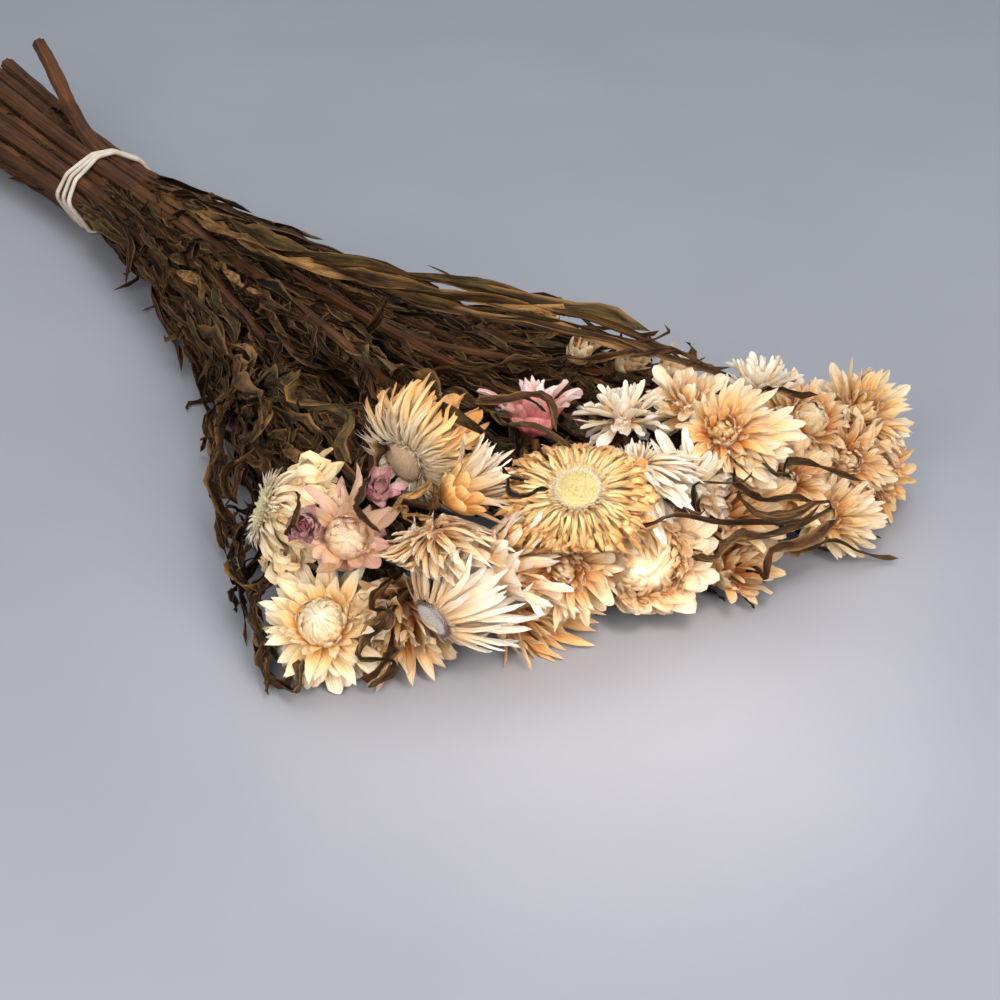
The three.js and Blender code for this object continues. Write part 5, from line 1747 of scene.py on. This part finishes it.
        # Painted shade: leaves of the lower layers get darker tones, standing in for the shade deep in the leaf mass.
        tone = rng.random(int(kept.sum())) * PALEST_UNDER_PAINTED_SHADE[self.layer]
        self.sheaf.add(mould, copies, tone, share[kept], finish=1)

    def _draped(self, leaf: Drape) -> Callable:
        """Adds one listed leaf, and gives back its line as a function of the share of the way."""
        places = np.concatenate([self.curve(np.array([leaf.share])), np.array(leaf.way, float)])
        pulls = np.gradient(places, axis=0)
        steps = np.linspace(0, 1, 12)
        parts = [cubic(*ends, steps[:-1]) for ends in zip(places, pulls, places[1:], pulls[1:])]
        line = np.concatenate(parts + [places[-1:]])
        gone = np.concatenate([[0], np.cumsum(np.linalg.norm(np.diff(line, axis=0), axis=1))])
        stations = np.linspace(0, 1, 40)
        line = np.stack([np.interp(stations * gone[-1], gone, line[:, axis]) for axis in range(3)], axis=1)
        line = line + self._wave(3, stations, 1.3, 4.0).T + self._wave(3, stations, 0.8, 7.0).T
        line = tucked(line, 4.5)
        turn = self._wave(1, stations, 0.9, 1.2)[0] + self.rng.normal(0, 0.6)
        turn = turn + self.rng.normal(0, 1.7 * leaf.roll - 2.6) * stations
        course = Course.through(line).turned(turn[None])
        uneven = 1 + 0.5 * self._wave(1, stations, 1.0, 6.0)
        half = 0.62 * leaf.half * (uneven + 0.5 * self._wave(1, stations, 1.0, 11.0))
        mould = self.shop.blades[Blank.RIBBON]
        phase = self.rng.uniform(0, 6, 1)
        copies = mould.lay(course, half, np.full(half.shape, 0.5), np.array([leaf.roll]), np.array([0.8]), phase)
        self.sheaf.add(mould, copies, leaf.tone, leaf.share, finish=1)
        return lambda t: np.stack([np.interp(t, stations, row) for row in line.T], axis=-1)

    def _wave(self, many: int, stations: Rows, height: float, turns: float = 1.6) -> Rows:
        """Slow waves along each leaf."""
        pace = self.rng.uniform(0.6, 1.4, (many, 1)) * turns * 2 * math.pi
        tall = height * self.rng.normal(0, 0.6, (many, 1))
        return tall * np.sin(pace * stations + self.rng.uniform(0, 6.3, (many, 1)))

    def _hook(self, many: int, stations: Rows) -> Rows:
        """The curl at each leaf's tip, strong in a few."""
        strength = self.rng.normal(0, 1, (many, 1)) ** 3 * 0.36
        start = self.rng.uniform(0.35, 0.75, (many, 1))
        return np.clip(strength, -3.6, 3.6) * np.clip((stations - start) / (1 - start), 0, 1) ** 1.4

    def _clear_of_blooms(self, root: Rows, axes: tuple, length: Rows, *angles: Rows) -> Rows:
        """Shortens the leaves that would run into a bloom.

        Args:
            root: The leaves' roots.
            axes: Their directions.
            length: Their lengths.
            *angles: Their bends.

        Returns:
            The lengths that keep clear.
        """
        line = Course.bent(root, axes, length, *angles).line
        stations = np.linspace(0, 1, line.shape[1])
        reach = np.ones(len(length))
        for flower in self.blooms:
            gap = np.linalg.norm(line - flower.middle, axis=2) / flower.spread
            hit = gap < 0.4
            first = np.where(hit.any(axis=1), stations[hit.argmax(axis=1)], 1.0)
            reach = np.minimum(reach, np.maximum(first - 0.04, 0))
        return length * reach


@dataclass
class ElasticBand:
    """The elastic that is wound round the stems three times.

    Attributes:
        turns: How many times it goes round.
        radius: The cord's radius.
        stations: How many stations one turn has.
    """

    shop: Workshop
    turns: int = 3
    radius: float = 1.0
    stations: int = 225

    def build(self) -> None:
        """Builds the band."""
        sheaf = Sheaf()
        line = self._round_the_stems()
        turn = np.linspace(0, 2 * math.pi, self.stations)
        out = np.stack([np.cos(turn), 0 * turn, np.sin(turn)], axis=1)
        for strand in range(self.turns):
            parted = 1.15 + 2.9 * (1 - np.cos(turn - 0.9))
            shifted = line + np.outer((strand - (self.turns - 1) / 2) * parted, [0, 1.0, 0])
            shifted += out * (0.12 * np.sin(5 * turn + 2 * strand))[:, None]
            ahead = np.roll(shifted[:-1], -1, axis=0) - np.roll(shifted[:-1], 1, axis=0)
            ahead = unit(np.concatenate([ahead, ahead[:1]]))
            side = unit(out - ahead * np.sum(out * ahead, axis=1)[:, None])
            course = Course(shifted[None], side[None], np.cross(side, ahead)[None])
            wide = np.full((1, self.stations), self.radius)
            sheaf.add_round(self.shop.strand, course, wide, strand / 3, 0.0)
        sheaf.tie("elastic_strands", "elastic_band", "elastic", [self.shop.dress(CreamElastic())])

    def _round_the_stems(self) -> Rows:
        """The closed line that hugs the outer stems, with its stations spread evenly by direction."""
        seats = np.array([
            [(i - (count - 1) / 2) * STEM_PITCH, BAND_Y, FIRST_LAYER_Z + layer * LAYER_RISE]
            for layer, count in enumerate(BAND_ROWS) for i in range(count)
        ])
        turn = np.linspace(0, 2 * math.pi, 1441)
        out = np.stack([np.cos(turn), 0 * turn, np.sin(turn)], axis=1)
        hull = seats[np.argmax(out @ seats.T, axis=1)] + out * (STEM_RADIUS + CLEARANCE + self.radius)
        travelled = np.concatenate([[0], np.cumsum(np.linalg.norm(np.diff(hull, axis=0), axis=1))])
        even = np.linspace(0, travelled[-1], self.stations)
        return np.stack([np.interp(even, travelled, hull[:, axis]) for axis in range(3)], axis=1)


@dataclass
class Studio:
    """The pale table, the soft light and the camera.

    Attributes:
        target: What the camera looks at, in millimetres in the bunch's frame.
        azimuth: Which side it looks from, in degrees.
        elevation: How high it stands, in degrees.
        distance: How far off it is, in millimetres.
        lens: Its focal length.
    """

    target: Place = (-29, 0, 30)
    azimuth: float = -35.0
    elevation: float = 30.0
    distance: float = 874.6
    lens: float = 92.6

    def build(self) -> None:
        """Sets up the studio."""
        self._table()
        self._sky()
        self._camera()
        self._softbox("front_softbox", (-0.1, -1.6, 0.9), 0.7, 17.8, (1.0, 0.95, 0.89))
        self._softbox("side_softbox", (-0.9, -0.9, 0.7), 0.6, 14.0, (1.0, 0.96, 0.91))
        self._softbox("overhead_softbox", (0.15, 0.0, 1.4), 1.2, 12.5, (0.92, 0.96, 1.0))
        self._softbox("table_softbox", (-0.1, -0.5, 0.36), 0.12, 0.11, (1.0, 0.9, 0.86), 40.0, (-0.02, -0.262, 0.0))
        scene = bpy.context.scene
        scene.view_settings.view_transform = "Standard"
        scene.view_settings.look = "None"
        scene.view_settings.exposure = 0.0
        scene.view_settings.gamma = 1.0

    def _table(self) -> None:
        """Adds the pale table top."""
        bpy.ops.object.select_all(action="DESELECT")
        bpy.ops.mesh.primitive_plane_add(size=24)
        table = bpy.context.object
        table.name = "table_top"
        recipe = Recipe("pale_table")
        mottle = recipe.blotch(9.0)
        colour = recipe.ramp(mottle, [(0.3, (141, 142, 147)), (0.7, (145, 146, 151))])
        table.data.materials.append(recipe.done(colour, recipe.spread(mottle, 0.3, 0.7, 0.5, 0.56), mottle, 0.02))

    @staticmethod
    def _sky() -> None:
        """Adds soft light from all round."""
        world = bpy.data.worlds.new("soft_room")
        bpy.context.scene.world = world
        world.use_nodes = True
        background = world.node_tree.nodes["Background"]
        background.inputs["Color"].default_value = (0.78, 0.86, 1.0, 1.0)
        background.inputs["Strength"].default_value = 0.42

    def _camera(self) -> None:
        """Adds the camera."""
        a, e = math.radians(self.azimuth), math.radians(self.elevation)
        back = np.array([math.sin(a) * math.cos(e), -math.cos(a) * math.cos(e), math.sin(e)])
        place = (np.array(self.target) + back * self.distance + ROW_SHIFT) * MM
        camera = bpy.data.cameras.new("studio_camera")
        camera.lens = self.lens
        camera.sensor_width = 36.0
        camera.clip_start, camera.clip_end = 0.01, 20.0
        viewer = bpy.data.objects.new("studio_camera", camera)
        viewer.location = place
        viewer.rotation_euler = Vector(-back).to_track_quat("-Z", "Y").to_euler()
        bpy.context.scene.collection.objects.link(viewer)
        bpy.context.scene.camera = viewer

    @staticmethod
    def _softbox(
        name: str, place: Place, size: float, power: float, tint: Place, beam: float = 180.0,
        aim: Place = (0.0, -0.15, 0.03),
    ) -> None:
        """Adds a soft light.

        Args:
            name: Its name.
            place: Where it is, in metres.
            size: How wide it is.
            power: Its power in watts.
            tint: Its colour.
            beam: How wide it opens, in degrees.
            aim: What it points at, in metres.
        """
        light = bpy.data.lights.new(name, "AREA")
        light.shape, light.size, light.energy, light.color = "SQUARE", size, power, tint
        light.spread = math.radians(beam)
        lamp = bpy.data.objects.new(name, light)
        lamp.location = place
        lamp.rotation_euler = (Vector(aim) - Vector(place)).to_track_quat("-Z", "Y").to_euler()
        bpy.context.scene.collection.objects.link(lamp)


def main() -> None:
    """Builds the studio, the blooms, the stems and the band."""
    logging.basicConfig(level=logging.INFO, format="%(name)s: %(message)s")
    Studio().build()
    shop = Workshop()
    for index, flower in enumerate(FLOWERS):
        Bloom(flower, shop, index + 1).build()
    mains = sorted((flower for flower in FLOWERS if flower.leaves_at is None), key=lambda flower: flower.seat)
    for number, flower in enumerate(mains, start=1):
        shoots = [other for other in FLOWERS if other.leaves_at is not None and other.seat == flower.seat]
        LeafyStem(number, flower, shoots, shop, FLOWERS).build()
    ElasticBand(shop).build()


if __name__ == "__main__":
    main()
